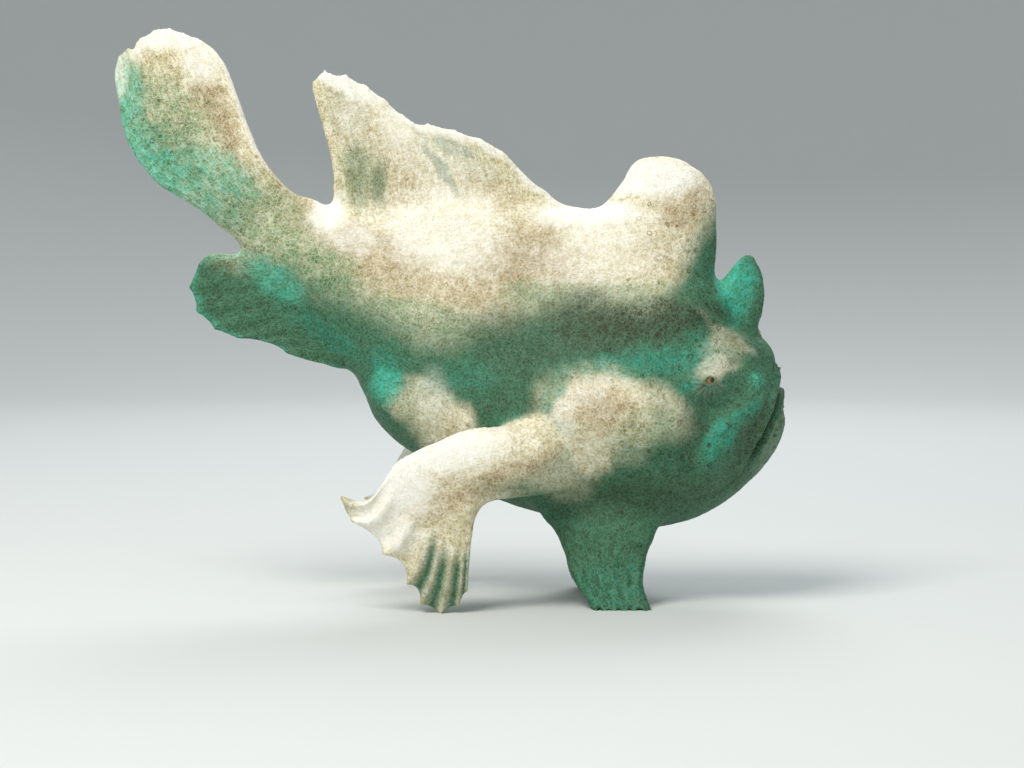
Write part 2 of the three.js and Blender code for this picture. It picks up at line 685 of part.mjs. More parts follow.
function lureTuft() {
  const { route } = LURE_ROD;
  const end = new THREE.Vector3(...route.at(-1));
  const lie = end.clone().sub(new THREE.Vector3(...route.at(-2))).normalize();
  const threads = [];
  for (let k = 0; k < LURE_TUFT.threads; k += 1) {
    const bend = LURE_TUFT.spread * (k / (LURE_TUFT.threads - 1) - 0.5);
    const out = lie.clone().applyAxisAngle(new THREE.Vector3(0, 1, 0), bend);
    const thread = new THREE.ConeGeometry(LURE_TUFT.radius, LURE_TUFT.length, 6);
    thread.rotateX(Math.PI / 2).translate(0, 0, LURE_TUFT.length / 2 - LURE_TUFT.overlap);
    threads.push(setOut(thread, end, out));
  }
  return threads;
}

// The fish: each named piece is cut clear of the ones that it grows from

const body = bodyGeometry();
const bodySolid = solidOf(body);
const bodyRoom = swollen(body);
const thirdSpine = headSpine(THIRD_SPINE);
const secondSpine = headSpine(SECOND_SPINE);
const thirdSpineRoom = swollen(thirdSpine);

const tailFrame = bodyAxis(TAIL_CUT);
const tailCut = (reach) => [
  tailFrame.x - reach * tailFrame.forward[1],
  tailFrame.z + reach * tailFrame.forward[0],
];

const pieces = {
  head: headSolid(bodySolid),
  torso: trimmed(
    trimmed(bodySolid, HEAD_CUT.top, HEAD_CUT.bottom, GAP / 2), tailCut(-1), tailCut(1), GAP / 2),
  tail: trimmed(bodySolid, tailCut(1), tailCut(-1), GAP / 2),
  caudal_fin: solidOf(caudalFin()),
  dorsal_fin: solidOf(dorsalFin()).subtract(bodyRoom).subtract(thirdSpineRoom),
  anal_fin: solidOf(analFin()).subtract(bodyRoom),
  third_dorsal_spine: solidOf(thirdSpine).subtract(bodyRoom),
  second_dorsal_spine: solidOf(secondSpine).subtract(bodyRoom).subtract(thirdSpineRoom),
};

let lure = solidOf(lureRod());
for (const thread of lureTuft()) lure = lure.add(solidOf(thread));
pieces.illicium = lure.subtract(bodyRoom).subtract(swollen(secondSpine)).subtract(thirdSpineRoom);

// The limbs and eye of one side, made on the right
function sidePieces(handSpread) {
  const arm = solidOf(pectoralArm()).subtract(bodyRoom);
  const hand = aboveFloor(solidOf(pectoralFin(handSpread)).subtract(bodyRoom));
  return {
    pectoral_arm: geometryOf(arm),
    pectoral_fin: geometryOf(hand),
    pelvic_fin: geometryOf(aboveFloor(solidOf(pelvicFin()).subtract(bodyRoom))),
    eye: geometryOf(solidOf(eyeball(EYE.radius))),
  };
}

// Colours: shades of cream for the skin, and a wet gold eye
const FIN_COLOUR = 0xddd3bb;
const COLOUR_OF = {
  head: 0xcfc4aa,
  torso: 0xd8ccb2,
  tail: 0xd3c9b0,
  third_dorsal_spine: 0xe2d8c2,
  second_dorsal_spine: 0xe2d8c2,
  pectoral_arm: 0xd8ccb2,
  eye: 0xb08a3c,
};
const SKIN_ROUGHNESS = 0.72;
const EYE_ROUGHNESS = 0.12;

const frogfish = new THREE.Group();

function addPiece(kind, ending, geometry) {
  const material = new THREE.MeshStandardMaterial({
    color: COLOUR_OF[kind] ?? FIN_COLOUR,
    roughness: kind === 'eye' ? EYE_ROUGHNESS : SKIN_ROUGHNESS,
    metalness: 0,
  });
  const mesh = new THREE.Mesh(geometry, material);
  mesh.name = kind + ending;
  frogfish.add(mesh);
}

for (const [kind, solid] of Object.entries(pieces)) addPiece(kind, '', geometryOf(solid));
for (const [kind, geometry] of Object.entries(sidePieces(1))) addPiece(kind, '_right', geometry);
for (const [kind, geometry] of Object.entries(sidePieces(LEFT_HAND_SPREAD))) {
  addPiece(kind, '_left', facingOut(mirrored(geometry)));
}

// The origin is under the middle of the fish, on the floor
const extent = new THREE.Box3().setFromObject(frogfish);
frogfish.position.x = -(extent.min.x + extent.max.x) / 2;
frogfish.position.y = -(extent.min.y + extent.max.y) / 2;

export default frogfish;
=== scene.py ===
# The looks of a life-size frogfish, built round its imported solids.
# Its shapes are worked out in millimetres, in the frame that the outlines are drawn in, and then
# set in place in metres. The head points to +X, the fish's right side is -Y, the floor is z = 0.

import itertools
import math

import bmesh
import bpy
import numpy as np
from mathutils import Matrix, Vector
from mathutils.kdtree import KDTree


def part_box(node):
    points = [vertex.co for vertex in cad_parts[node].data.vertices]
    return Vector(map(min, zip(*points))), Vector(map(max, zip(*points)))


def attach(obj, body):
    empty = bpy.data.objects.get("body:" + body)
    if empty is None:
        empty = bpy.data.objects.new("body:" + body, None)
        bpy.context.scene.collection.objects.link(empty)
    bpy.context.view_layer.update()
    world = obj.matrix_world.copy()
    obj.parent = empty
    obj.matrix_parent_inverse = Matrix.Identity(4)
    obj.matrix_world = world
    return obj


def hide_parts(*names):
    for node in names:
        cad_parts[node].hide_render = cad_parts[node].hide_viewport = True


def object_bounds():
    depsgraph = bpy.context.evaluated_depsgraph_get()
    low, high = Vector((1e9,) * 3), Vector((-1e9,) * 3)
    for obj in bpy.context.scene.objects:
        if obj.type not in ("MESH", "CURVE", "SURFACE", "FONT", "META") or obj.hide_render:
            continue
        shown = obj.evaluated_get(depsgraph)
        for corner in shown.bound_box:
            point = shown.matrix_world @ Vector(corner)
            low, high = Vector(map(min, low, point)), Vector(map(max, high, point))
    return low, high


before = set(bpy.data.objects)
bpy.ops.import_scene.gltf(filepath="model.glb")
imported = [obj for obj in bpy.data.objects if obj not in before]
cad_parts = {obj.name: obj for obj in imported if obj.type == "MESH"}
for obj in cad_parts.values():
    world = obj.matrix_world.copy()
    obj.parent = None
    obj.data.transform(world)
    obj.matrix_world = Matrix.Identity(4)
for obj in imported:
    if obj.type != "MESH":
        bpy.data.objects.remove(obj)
cad_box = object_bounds()

MM = 0.001

# How fine the skin is, the shapes that it is fused from, and the eyes
VOXEL = 0.45
SOURCE_STEP = 0.7
EYE_ROWS = 90
EYE_TURNS = 96
BODY_ROWS = 300
BODY_TURNS = 420
NOSE_STEP = 0.6
SPINE_ROWS = 110
SPINE_TURNS = 160

# The camera, which stands where the photo was taken from, and the photo's size in pixels
CAMERA_PLACE = (24.51, -898.77, 128.42)
CAMERA_TILT = math.radians(87)
LENS = 83.26
SENSOR_WIDTH = 36
PHOTO_SIZE = (1024, 768)

# Driving dimensions of the body, the same as the solids'
BODY_LENGTH = 201.4
BODY_PITCH = math.radians(-20.65)
TAIL_BASE = (-59.2, 139)
TAIL_BEND_START = 40
TAIL_BEND = math.radians(29.35) / 48
TAIL_END = -8
PEAR = 0.2
FULL_FLANK = 12
NOSE_HEIGHT = -5
BACK = [
    (198.8, 2.6), (191.9, 14.2), (186.2, 22.4), (178.6, 27.2), (167.9, 31.7), (157.5, 38.7),
    (148.7, 44.7), (126.3, 50.4), (106.6, 49), (91.6, 45.8), (61.7, 39.4), (31.8, 26.3),
    (19.2, 20.1), (6.5, 9.1), (-8, 4),
]
BELLY = [
    (199.8, -16.5), (197, -25.2), (190.3, -37.6), (175.9, -52), (164, -58.6), (149.4, -63.4),
    (129.1, -66.5), (110.4, -67.2), (89.2, -66), (68.2, -61.2), (55.4, -55.4), (45.8, -46),
    (31.8, -35.4), (13.9, -25.3), (-8, -26.4),
]
HALF_WIDTH = [
    (199, 11), (195, 17), (190, 21.5), (180, 26.5), (165, 30), (150, 31), (127, 29), (92, 23),
    (62, 17.5), (35, 12), (0, 7.5), (-8, 6.5),
]

# Swellings and furrows of the flanks: from and to [along, height], rise and width
FLANK_FORMS = [
    ((130, -20), (152, -15), 6.5, 20),
    ((95, 14), (148, 8), -3.5, 13),
    ((166, 9), (166, 8), 4.5, 9),
    ((153.6, 27.6), (177, 22.5), 3.5, 5.5),
    ((187, 3), (175, -27), 2.5, 5.5),
    ((170, -2), (171, -29), -2.5, 5),
    ((100, -45), (120, -48), 3, 18),
]

# The mouth, whose line is a row of the body that drifts back at its corners, and the eye
MOUTH_ROW = 0.198
MOUTH_ROW_SCALE = 114
MOUTH_CROWDING = 0.075
MOUTH_CORNER_DRIFT = 0.03
MOUTH_CORNER = (math.radians(96), math.radians(124))
MOUTH_FURROW = {"depth": 3.4, "width": 0.85}
MOUTH_LIPS = {"rise": 1.5, "apart": 2.5, "width": 1.5}
JAW_CENTRE = (172, -8)
EYE = {
    "place": (165.5, 4), "radius": 3, "cornea": 0.16, "sunk": 2.2, "opening": 1.62, "forward": 0.3,
}
LID = {
    "narrowing": 0.4, "droop": 0.16, "rim": 1.1, "brow": 0.3, "rim_place": 0.62, "rim_width": 0.55,
    "pit": 1.7, "folds": 13, "fold_rise": 0.035, "fold_place": 4.6, "fold_width": 1.9,
    "outer_rise": 0.4, "outer_place": 4.3, "outer_width": 0.5, "reach": 12,
}

# Fins: their outline curves as [x, z], and the place of each ray as a share of the width
DORSAL_FIN = {
    "root": [(-41, 142), (-20, 146), (10, 148), (50, 142)],
    "tip": [
        (-51.4, 194), (-49.6, 200), (-44, 200.6), (-37, 198.6), (-28, 193.2), (-14, 181.9),
        (-1.9, 179.3), (18.1, 171.8), (31.3, 159), (42.7, 151.4), (53, 146),
    ],
    "first": [(-43.5, 150), (-42.8, 158), (-44.8, 171), (-49.1, 186.1)],
    "last": [],
    "lean": 1.2,
    "rays": [(k + 0.5) / 13 for k in range(13)],
    "scallop": 1.1,
    "fray": 0.3,
}
CAUDAL_FIN = {
    "tip": [
        (-126.8, 197.7), (-126, 204.5), (-122, 209.5), (-112, 216), (-106.7, 216.9), (-99.9, 214.8),
        (-93.5, 212), (-88.3, 207.9),
    ],
    "first": [(-93.6, 147.3), (-110.2, 157.8), (-121, 172.5), (-125, 188.7)],
    "last": [(-64.8, 160.1), (-71.5, 169.9), (-79.7, 191), (-83.8, 201.5)],
    "rays": [(k + 0.5) / 9 for k in range(9)],
    "scallop": 0.6,
    "fray": 0.3,
    "tear": {"place": 0.3, "depth": 1.9, "width": 0.028},
}
ANAL_FIN = {
    "root": [(-29, 84), (-48.5, 110.5), (-63, 127), (-70, 132.5)],
    "tip": [
        (-47, 89.2), (-58.3, 92), (-69.3, 97.3), (-84.4, 100), (-95, 108.5), (-97.6, 121), (-91, 130.4),
    ],
    "first": [(-39.7, 86.6)],
    "last": [],
    "rays": [(k + 0.5) / 8 for k in range(8)],
    "scallop": 1.6,
}
WRIST = [(13.2, 37.6), (-8.5, 61.8)]
PECTORAL_ARM = {
    "root": [(58, 45), (58, 75)],
    "tip": WRIST,
    "first": [(42, 42), (24, 41.5)],
    "last": [(42, 77), (27.4, 69.5), (9.2, 66.3)],
}
PECTORAL_FIN = {
    "root": WRIST,
    "tip": [
        (8.4, 8), (4.2, 0.4), (-1.5, -1.6), (-7, -0.6), (-12.4, 7.4), (-22, 20), (-34, 33),
        (-38.4, 37.6), (-37.8, 42.8),
    ],
    "first": [(9.8, 27), (8.9, 17)],
    "last": [(-17, 55.6), (-22.3, 47.8), (-26.4, 42.4), (-31, 40.6)],
    "rays": [0.015, 0.1, 0.2, 0.32, 0.44, 0.632, 0.856, 0.985],
    "scallop": [3.2, 3.4, 3.6, 3.8, 5.6, 4.6, 2.6],
}
LEFT_HAND_SPREAD = 0.72
PELVIC_FIN = {
    "root": [(26, 44), (87, 42)],
    "tip": [(55, -1.5), (60, -3), (65.5, -3.4), (71, -3), (75.8, -1.5)],
    "first": [(33.5, 34), (39.8, 28), (43.8, 20), (46.5, 11.7)],
    "last": [(80.5, 28.5), (76, 22), (73.8, 15), (73, 8)],
    "rays": [(k + 0.5) / 6 for k in range(6)],
    "scallop": 3.4,
}

# The fins' edges: the shape of the notches, the width of the rounding and the thinnest half depth
NOTCH_ROUNDNESS = 2.4
ROUND_MARGIN = 1.8
LEAST_DEPTH = 0.08

# How far the limbs stand out from the middle plane, and their half thickness, from root to tip
ARM_REACH = [(0, 12), (0.35, 26), (0.7, 35), (1, 38.4)]
ARM_HALF_THICKNESS = [(0, 11), (0.4, 9.8), (0.75, 7.4), (1, 5.8)]
HAND_REACH = [(0, 38.4), (0.5, 41), (1, 40.5)]
HAND_HALF_THICKNESS = [(0, 5.8), (0.45, 3.4), (0.8, 1.7), (1, 0.9)]
PELVIC_REACH = [(0, 12), (0.4, 20), (0.7, 26), (1, 34)]
PELVIC_HALF_THICKNESS = [(0, 9), (0.35, 7.5), (0.65, 4.8), (1, 2.2)]

# The two thick head spines, as [z, x] of their rear and front edge, and [z, half width]
THIRD_SPINE = {
    "top": 167.3, "foot": 112, "middle": 80,
    "rear": [
        (166.3, 73), (163.9, 69.9), (159, 67.3), (154.1, 63.5), (149.2, 58.2), (145.4, 54), (138, 48),
        (112, 44),
    ],
    "front": [
        (166.3, 87.5), (163.9, 91.8), (161.2, 96), (153.3, 100.9), (147.3, 102.1), (128, 101.8),
        (112, 100),
    ],
    "half_width": [
        (166.3, 5), (163, 7.5), (158, 9.3), (150, 10.8), (142, 12.8), (132, 14.6), (120, 15),
        (112, 15),
    ],
}
SECOND_SPINE = {
    "top": 130.6, "foot": 92, "middle": 114,
    "rear": [
        (129.6, 111.8), (127.4, 109.4), (124.6, 106), (121.7, 103.2), (116, 99), (104, 97), (92, 96),
    ],
    "front": [
        (129.6, 116), (127.4, 117.3), (124.6, 118.9), (121, 119.8), (116, 120.2), (108, 119.4),
        (101, 117.6), (92, 116),
    ],
    "half_width": [(129.6, 1.7), (127, 2.3), (122, 3), (115, 4.2), (108, 6), (100, 8), (92, 9)],
}

# The lure, as [x, y, z] along its stalk, and the threads of its tuft
LURE_ROUTE = [
    (117, 1, 92), (119.8, 4.4, 98), (116.6, 8.6, 105), (110.5, 11.4, 112.5), (103, 15, 119.5),
    (94.5, 18, 126),
]
LURE_ROOT_RADIUS = 0.6
LURE_TIP_RADIUS = 0.4
LURE_SIDES = 16
LURE_BANDS = 12
TUFT_THREADS = 14
THREAD_PLACES = 26
THREAD_SIDES = 10
THREAD_RADIUS = 0.3
THREAD_LENGTH = (3.0, 5.2)


# Shapes of curves and surfaces

def mix(a, b, t):
    return a + (b - a) * t


def smoothstep(x, low, high):
    t = np.clip((x - low) / np.maximum(high - low, 1e-9), 0, 1)
    return t * t * (3 - 2 * t)


def bump(distance, width):
    return np.exp(-((distance / width) ** 2))


def unit(ways):
    return ways / np.linalg.norm(ways, axis=-1, keepdims=True)


def grid(rows, columns):
    return np.meshgrid(rows, columns, indexing="ij")


def smooth_profile(points):
    """A smooth curve through rising places that never overshoots them."""
    xs, ys = np.array(points, float).T
    steps = np.diff(ys) / np.diff(xs)
    slopes = np.zeros(len(xs))
    slopes[0] = steps[0]
    slopes[-1] = steps[-1]
    same_way = steps[:-1] * steps[1:] > 0
    sums = np.where(same_way, steps[:-1] + steps[1:], 1)
    slopes[1:-1] = np.where(same_way, 2 * steps[:-1] * steps[1:] / sums, 0)

    def at(x):
        i = np.clip(np.searchsorted(xs, x) - 1, 0, len(xs) - 2)
        span = xs[i + 1] - xs[i]
        t = np.clip((x - xs[i]) / span, 0, 1)
        between = mix(ys[i], ys[i + 1], t * t * (3 - 2 * t))
        return between + span * (slopes[i] * t * (1 - t) ** 2 - slopes[i + 1] * t * t * (1 - t))

    return at


def row_at(along):
    """Rows are counted by the square root of the distance from the nose, so that it is blunt."""
    return np.sqrt(1 - np.asarray(along, float) / BODY_LENGTH)


def body_profile(at_nose, places):
    return smooth_profile([(0, at_nose)] + [(row_at(along), value) for along, value in places])


back_line = body_profile(NOSE_HEIGHT, BACK)
belly_line = body_profile(NOSE_HEIGHT, BELLY)
half_width = body_profile(0, HALF_WIDTH)


def body_place(along, height, y):
    """A place by its distance along the body's axis, which bends up at the tail, and off it."""
    straight = np.maximum(along, TAIL_BEND_START)
    back = math.pi + BODY_PITCH
    turned = back - TAIL_BEND * (straight - along)
    x = TAIL_BASE[0] + straight * math.cos(BODY_PITCH)
    z = TAIL_BASE[1] + straight * math.sin(BODY_PITCH)
    x = x - (np.sin(turned) - math.sin(back)) / TAIL_BEND
    z = z + (np.cos(turned) - math.cos(back)) / TAIL_BEND
    return np.stack([x + height * np.sin(turned), y + 0 * x, z - height * np.cos(turned)], axis=-1)


def flank_rise(along, height):
    rise = 0
    for start, end, amount, width in FLANK_FORMS:
        run = (end[0] - start[0], end[1] - start[1])
        offset = (along - start[0], height - start[1])
        share = (offset[0] * run[0] + offset[1] * run[1]) / (run[0] ** 2 + run[1] ** 2)
        t = np.clip(share, 0, 1)
        distance = np.hypot(offset[0] - t * run[0], offset[1] - t * run[1])
        rise = rise + amount * bump(distance, width)
    return rise


def section(row):
    """The height of the body's middle there, and its reach up and down from it."""
    back, belly = back_line(row), belly_line(row)
    return (back + belly) / 2, (back - belly) / 2


def mouth_row(turn):
    drift = smoothstep(np.abs(turn), math.radians(60), math.radians(120))
    return MOUTH_ROW + MOUTH_CORNER_DRIFT * drift


def mouth_open(turn):
    return 1 - smoothstep(np.abs(turn), *MOUTH_CORNER)


def mouth_rise(row, turn):
    """The mouth's furrow and lips, by the distance from the line of the mouth."""
    distance = (row - mouth_row(turn)) * MOUTH_ROW_SCALE
    furrow = -MOUTH_FURROW["depth"] * bump(distance, MOUTH_FURROW["width"])
    lips = MOUTH_LIPS["rise"] * bump(np.abs(distance) - MOUTH_LIPS["apart"], MOUTH_LIPS["width"])
    return mouth_open(turn) * (furrow + lips)


def skin_place(row, turn):
    """A place on the skin. turn goes round from the back, positive on the right side."""
    along = BODY_LENGTH * (1 - row * row)
    middle, reach = section(row)
    height = middle + reach * np.cos(turn)
    side = np.sin(turn)
    out = half_width(row) * np.abs(side) * (1 - PEAR * np.cos(turn))
    flank = smoothstep(np.abs(side), 0.15, 0.75) * np.minimum(1, out / FULL_FLANK)
    width = out + flank * flank_rise(along, height)
    place = body_place(along, height, -np.sign(side) * width)
    from_jaw = unit(place - body_place(*JAW_CENTRE, 0))
    return place + from_jaw * mouth_rise(row, turn)[..., None]


def flank_at(place):
    """The row and turn, on the right side, of a place [along, height] of the flank."""
    along, height = place
    row = row_at(along)
    middle, reach = section(row)
    return row, np.arccos((height - middle) / reach)


def skin_normal(row, turn):
    small = 0.004
    lengthwise = skin_place(row + small, turn) - skin_place(row - small, turn)
    crosswise = skin_place(row, turn + small) - skin_place(row, turn - small)
    return unit(np.cross(lengthwise, crosswise))


def spline(points, count=400):
    """Evenly spaced places on a smooth curve through the given ones."""
    points = np.array(points, float)
    last = len(points) - 1
    t = np.linspace(0, last, count)
    i = np.minimum(t.astype(int), last - 1)
    w = (t - i)[:, None]
    before, start = points[np.maximum(i - 1, 0)], points[i]
    end, after = points[i + 1], points[np.minimum(i + 2, last)]
    out, into = (end - before) / 2, (after - start) / 2
    places = (2 * start - 2 * end + out + into) * w ** 3
    places += (-3 * start + 3 * end - 2 * out - into) * w ** 2 + out * w + start
    lengths = np.linalg.norm(np.diff(places, axis=0), axis=1)
    return places, np.concatenate([[0], np.cumsum(lengths)])


def curve_at(points):
    places, run = spline(points)

    def at(share):
        wanted = np.clip(share, 0, 1) * run[-1]
        return np.stack([np.interp(wanted, run, axis) for axis in places.T], axis=-1)

    return at


def fin_patch(fin):
    """A smooth sheet between four border curves."""
    root, tip = fin["root"], fin["tip"]
    root_curve = curve_at(root)
    tip_curve = curve_at(tip)
    first_curve = curve_at([root[0], *fin["first"], tip[0]])
    last_curve = curve_at([root[-1], *fin["last"], tip[-1]])
    corners = [np.array(corner, float) for corner in (root[0], root[-1], tip[0], tip[-1])]

    def at(u, v):
        across, out = u[..., None], v[..., None]
        place = mix(root_curve(u), tip_curve(u ** fin.get("lean", 1)), out)
        place += mix(first_curve(v), last_curve(v), across)
        place -= mix(mix(corners[0], corners[1], across), mix(corners[2], corners[3], across), out)
        return place

    return at


# Closed meshes, as arrays of vertices and triangles

def split(quads):
    return np.concatenate([quads[:, [0, 1, 2]], quads[:, [0, 2, 3]]])


def grid_quads(rows, columns, closed):
    """Quads between the places of a grid. A closed one joins its last column to its first."""
    spans = columns if closed else columns - 1
    i, k = grid(np.arange(rows - 1), np.arange(spans))
    a = (i * columns + k).ravel()
    b = (i * columns + (k + 1) % columns).ravel()
    return np.stack([a, b, b + columns, a + columns], axis=1)


def closed_loft(rings, start_pole, end_pole):
    """Skins rings [rows, columns, 3] and closes both ends with a fan."""
    rows, columns = rings.shape[:2]
    vertices = np.concatenate([rings.reshape(-1, 3), [start_pole, end_pole]])
    k = np.arange(columns)
    after = (k + 1) % columns
    last = (rows - 1) * columns
    start = np.stack([np.full(columns, last + columns), after, k], axis=1)
    end = np.stack([np.full(columns, last + columns + 1), last + k, last + after], axis=1)
    return vertices, np.concatenate([split(grid_quads(rows, columns, True)), start, end])


def closed_sheet(front, back):
    """Joins two faces of a sheet, given on the same grid, by a rim all round."""
    rows, columns = front.shape[:2]
    count = rows * columns
    quads = grid_quads(rows, columns, False)
    index = np.arange(count).reshape(rows, columns)
    rim = np.concatenate([index[0, :-1], index[:-1, -1], index[-1, :0:-1], index[:0:-1, 0]])
    after = np.roll(rim, -1)
    band = np.stack([after, rim, rim + count, after + count], axis=1)
    vertices = np.concatenate([front.reshape(-1, 3), back.reshape(-1, 3)])
    return vertices, split(np.concatenate([quads, quads[:, ::-1] + count, band]))


def ray_terms(u, fin):
    """How near a ray is, from 0 to 1, and how deep the notch between two is."""
    if "rays" not in fin:
        return 0 * u, 0 * u
    rays = np.array(fin["rays"])
    i = np.clip(np.searchsorted(rays, u) - 1, 0, len(rays) - 2)
    t = (u - rays[i]) / (rays[i + 1] - rays[i])
    half_gap = 0.5 * (rays[i + 1] - rays[i])
    nearest = np.abs(u[..., None] - rays).min(axis=-1)
    depths = np.broadcast_to(fin["scallop"], len(rays) - 1)[i]
    notch = np.where((t > 0) & (t < 1), depths * (1 - np.abs(2 * t - 1) ** NOTCH_ROUNDNESS), 0)
    return 0.5 + 0.5 * np.cos(math.pi * np.clip(nearest / half_gap, 0, 1)), notch


def worn_edge(u, width, fin):
    """How far in the fin's tip is frayed or torn, in millimetres."""
    place = u * width
    worn = fin.get("fray", 0) * (1 + np.sin(4.1 * place + 2 * np.sin(0.7 * place)))
    if "tear" in fin:
        tear = fin["tear"]
        worn = worn + tear["depth"] * bump(u - tear["place"], tear["width"])
    return worn


def patch_size(patch):
    """A sheet's width, near its tip, and its length, both in millimetres."""
    share = np.linspace(0, 1, 50)
    lines = (patch(share, np.full(50, 0.8)), patch(np.full(50, 0.5), share))
    return [np.linalg.norm(np.diff(line, axis=0), axis=1).sum() for line in lines]


def rounded_in(distance):
    """How much of a sheet's depth is there at a distance from its edge, from 0 to 1."""
    return np.sqrt(1 - np.clip(1 - distance / ROUND_MARGIN, 0, 1) ** 2)


def fin_sheet(fin, sway, half, ridge, spread=1):
    """A fin as a closed sheet: its vertices, its triangles, and for each vertex u and v from 0 to 1,
    and the same in millimetres."""
    patch = fin_patch(fin)
    width, length = patch_size(patch)
    rows, columns = int(length / SOURCE_STEP), int(width / SOURCE_STEP)
    v, u = grid(np.linspace(0, 1, rows), np.linspace(0, 1, columns))
    near, notch = ray_terms(u, fin)
    notch = notch + worn_edge(u, width, fin)
    flat = patch(0.5 + (u - 0.5) * mix(1, spread, v * v), v - notch / length * v ** 5)
    tip = rounded_in((1 - v) * length)
    sides = rounded_in(np.minimum(u, 1 - u) * width)
    depth = np.maximum((half(u, v) + ridge(u, v, near)) * tip * mix(0.5, 1, sides), LEAST_DEPTH)
    middle = sway(u, v)
    faces = [np.stack([flat[..., 0], middle + side * depth, flat[..., 1]], axis=-1) for side in (-1, 1)]
    vertices, triangles = closed_sheet(*faces)
    places = np.stack([u, v, u * width, v * length], axis=-1).reshape(-1, 4)
    return vertices, triangles, np.tile(places, (2, 1))


# The parts of the fish

def body_mesh():
    """The body and, for each vertex, how far off the line of the mouth it is and the mouth's share."""
    first = BODY_LENGTH - NOSE_STEP
    rows = row_at(mix(first, TAIL_END, np.linspace(0, 1, BODY_ROWS) ** 1.3))
    turns = 2 * math.pi * (np.arange(BODY_TURNS) + 0.5) / BODY_TURNS - math.pi
    row, turn = grid(rows, turns)
    row = row + bump(row - MOUTH_ROW, MOUTH_CROWDING) * (mouth_row(turn) - MOUTH_ROW)
    tail_middle, _ = section(row_at(TAIL_END))
    nose = body_place(BODY_LENGTH, NOSE_HEIGHT, 0)
    vertices, triangles = closed_loft(skin_place(row, turn), nose, body_place(TAIL_END, tail_middle, 0))
    from_mouth = (row - mouth_row(turn)) * MOUTH_ROW_SCALE
    mouth = np.stack([from_mouth.ravel(), mouth_open(turn).ravel()], axis=1)
    return vertices, triangles, np.pad(mouth, ((0, 2), (0, 2)))


def round_edge(u):
    return np.sqrt(np.maximum(0, 1 - (2 * u - 1) ** 2))


def dorsal_fin():
    def sway(u, v):
        return 2.2 * np.sin(math.pi * (1.6 * u + 0.2)) * v * v

    def half(u, v):
        return mix(5.2, 0.8, v ** 0.7) * mix(0.45, 1, smoothstep(u, 0, 0.12)) + 0.3

    def ridge(u, v, near):
        return 0.5 * near * smoothstep(v, 0.25, 0.7)

    return fin_sheet(DORSAL_FIN, sway, half, ridge)


def caudal_fin():
    row = row_at(TAIL_END)
    foot = [body_place(TAIL_END, line(row), 0)[[0, 2]] for line in (belly_line, back_line)]

    def half(u, v):
        blade = mix(4.6, 0.7, v) * mix(0.45, 1, round_edge(u))
        return mix(half_width(row) * round_edge(u), blade, smoothstep(v, 0, 0.5)) + 0.3

    def ridge(u, v, near):
        return 0.45 * near * smoothstep(v, 0.3, 0.7)

    fin = {**CAUDAL_FIN, "root": foot}
    return fin_sheet(fin, lambda u, v: 7 * v * v, half, ridge)


def anal_fin():
    def half(u, v):
        return mix(4.6, 0.7, v ** 0.8) * mix(0.5, 1, round_edge(u)) + 0.3

    def ridge(u, v, near):
        return 0.5 * near * smoothstep(v, 0.3, 0.7)

    return fin_sheet(ANAL_FIN, lambda u, v: -3 * v * v, half, ridge)


def limb(fin, reach, thickness, flat_from, ridge, side, spread=1):
    """A limb's sheet, round in section at its root and flatter at its tip. side is 1 on the right."""
    reach_at = smooth_profile(reach)
    depth_at = smooth_profile(thickness)

    def half(u, v):
        return depth_at(v) * mix(round_edge(u), 1, 0.6 * smoothstep(v, flat_from, 1)) + 0.3

    sheet = fin_sheet(fin, lambda u, v: -reach_at(v), half, ridge, spread)
    sheet[0][:, 1] *= side
    return sheet


def no_ridge(u, v, near):
    return 0


def hand_ridge(u, v, near):
    return 1.5 * near ** 2 * smoothstep(v, 0.34, 0.65)


def leg_ridge(u, v, near):
    return 1.3 * near ** 2 * smoothstep(v, 0.45, 0.8)


def head_spine(spine):
    def row_of(z):
        return math.sqrt((spine["top"] - z) / (spine["top"] - spine["foot"]))

    def profile(at_top, places):
        return smooth_profile([(0, at_top)] + [(row_of(z), value) for z, value in places])

    turns = np.linspace(0, 2 * math.pi, SPINE_TURNS, False)
    row, turn = grid(np.linspace(0.02, 1, SPINE_ROWS), turns)
    rear = profile(spine["middle"], spine["rear"])(row)
    front = profile(spine["middle"], spine["front"])(row)
    x = (rear + front) / 2 + (front - rear) / 2 * np.cos(turn)
    y = profile(0, spine["half_width"])(row) * np.sin(turn)
    z = spine["top"] - (spine["top"] - spine["foot"]) * row * row
    rings = np.stack([x, y, z], axis=-1)
    vertices, triangles = closed_loft(rings, (spine["middle"], 0, spine["top"]), rings[-1].mean(axis=0))
    return vertices, triangles, np.zeros((len(vertices), 4))


def flesh_parts():
    """Every part of the skin: its name, vertices and triangles, and where each vertex lies on it."""
    parts = [("body", *body_mesh())]
    for name, made in (("dorsal", dorsal_fin()), ("caudal", caudal_fin()), ("anal", anal_fin())):
        parts.append((name, *made))
    for name, spine in (("third_spine", THIRD_SPINE), ("second_spine", SECOND_SPINE)):
        parts.append((name, *head_spine(spine)))
    for side, spread in ((1, 1), (-1, LEFT_HAND_SPREAD)):
        arm = limb(PECTORAL_ARM, ARM_REACH, ARM_HALF_THICKNESS, 1, no_ridge, side)
        hand = limb(PECTORAL_FIN, HAND_REACH, HAND_HALF_THICKNESS, 0.1, hand_ridge, side, spread)
        leg = limb(PELVIC_FIN, PELVIC_REACH, PELVIC_HALF_THICKNESS, 0.55, leg_ridge, side)
        parts += [("arm", *arm), ("hand", *hand), ("leg", *leg)]
    return parts


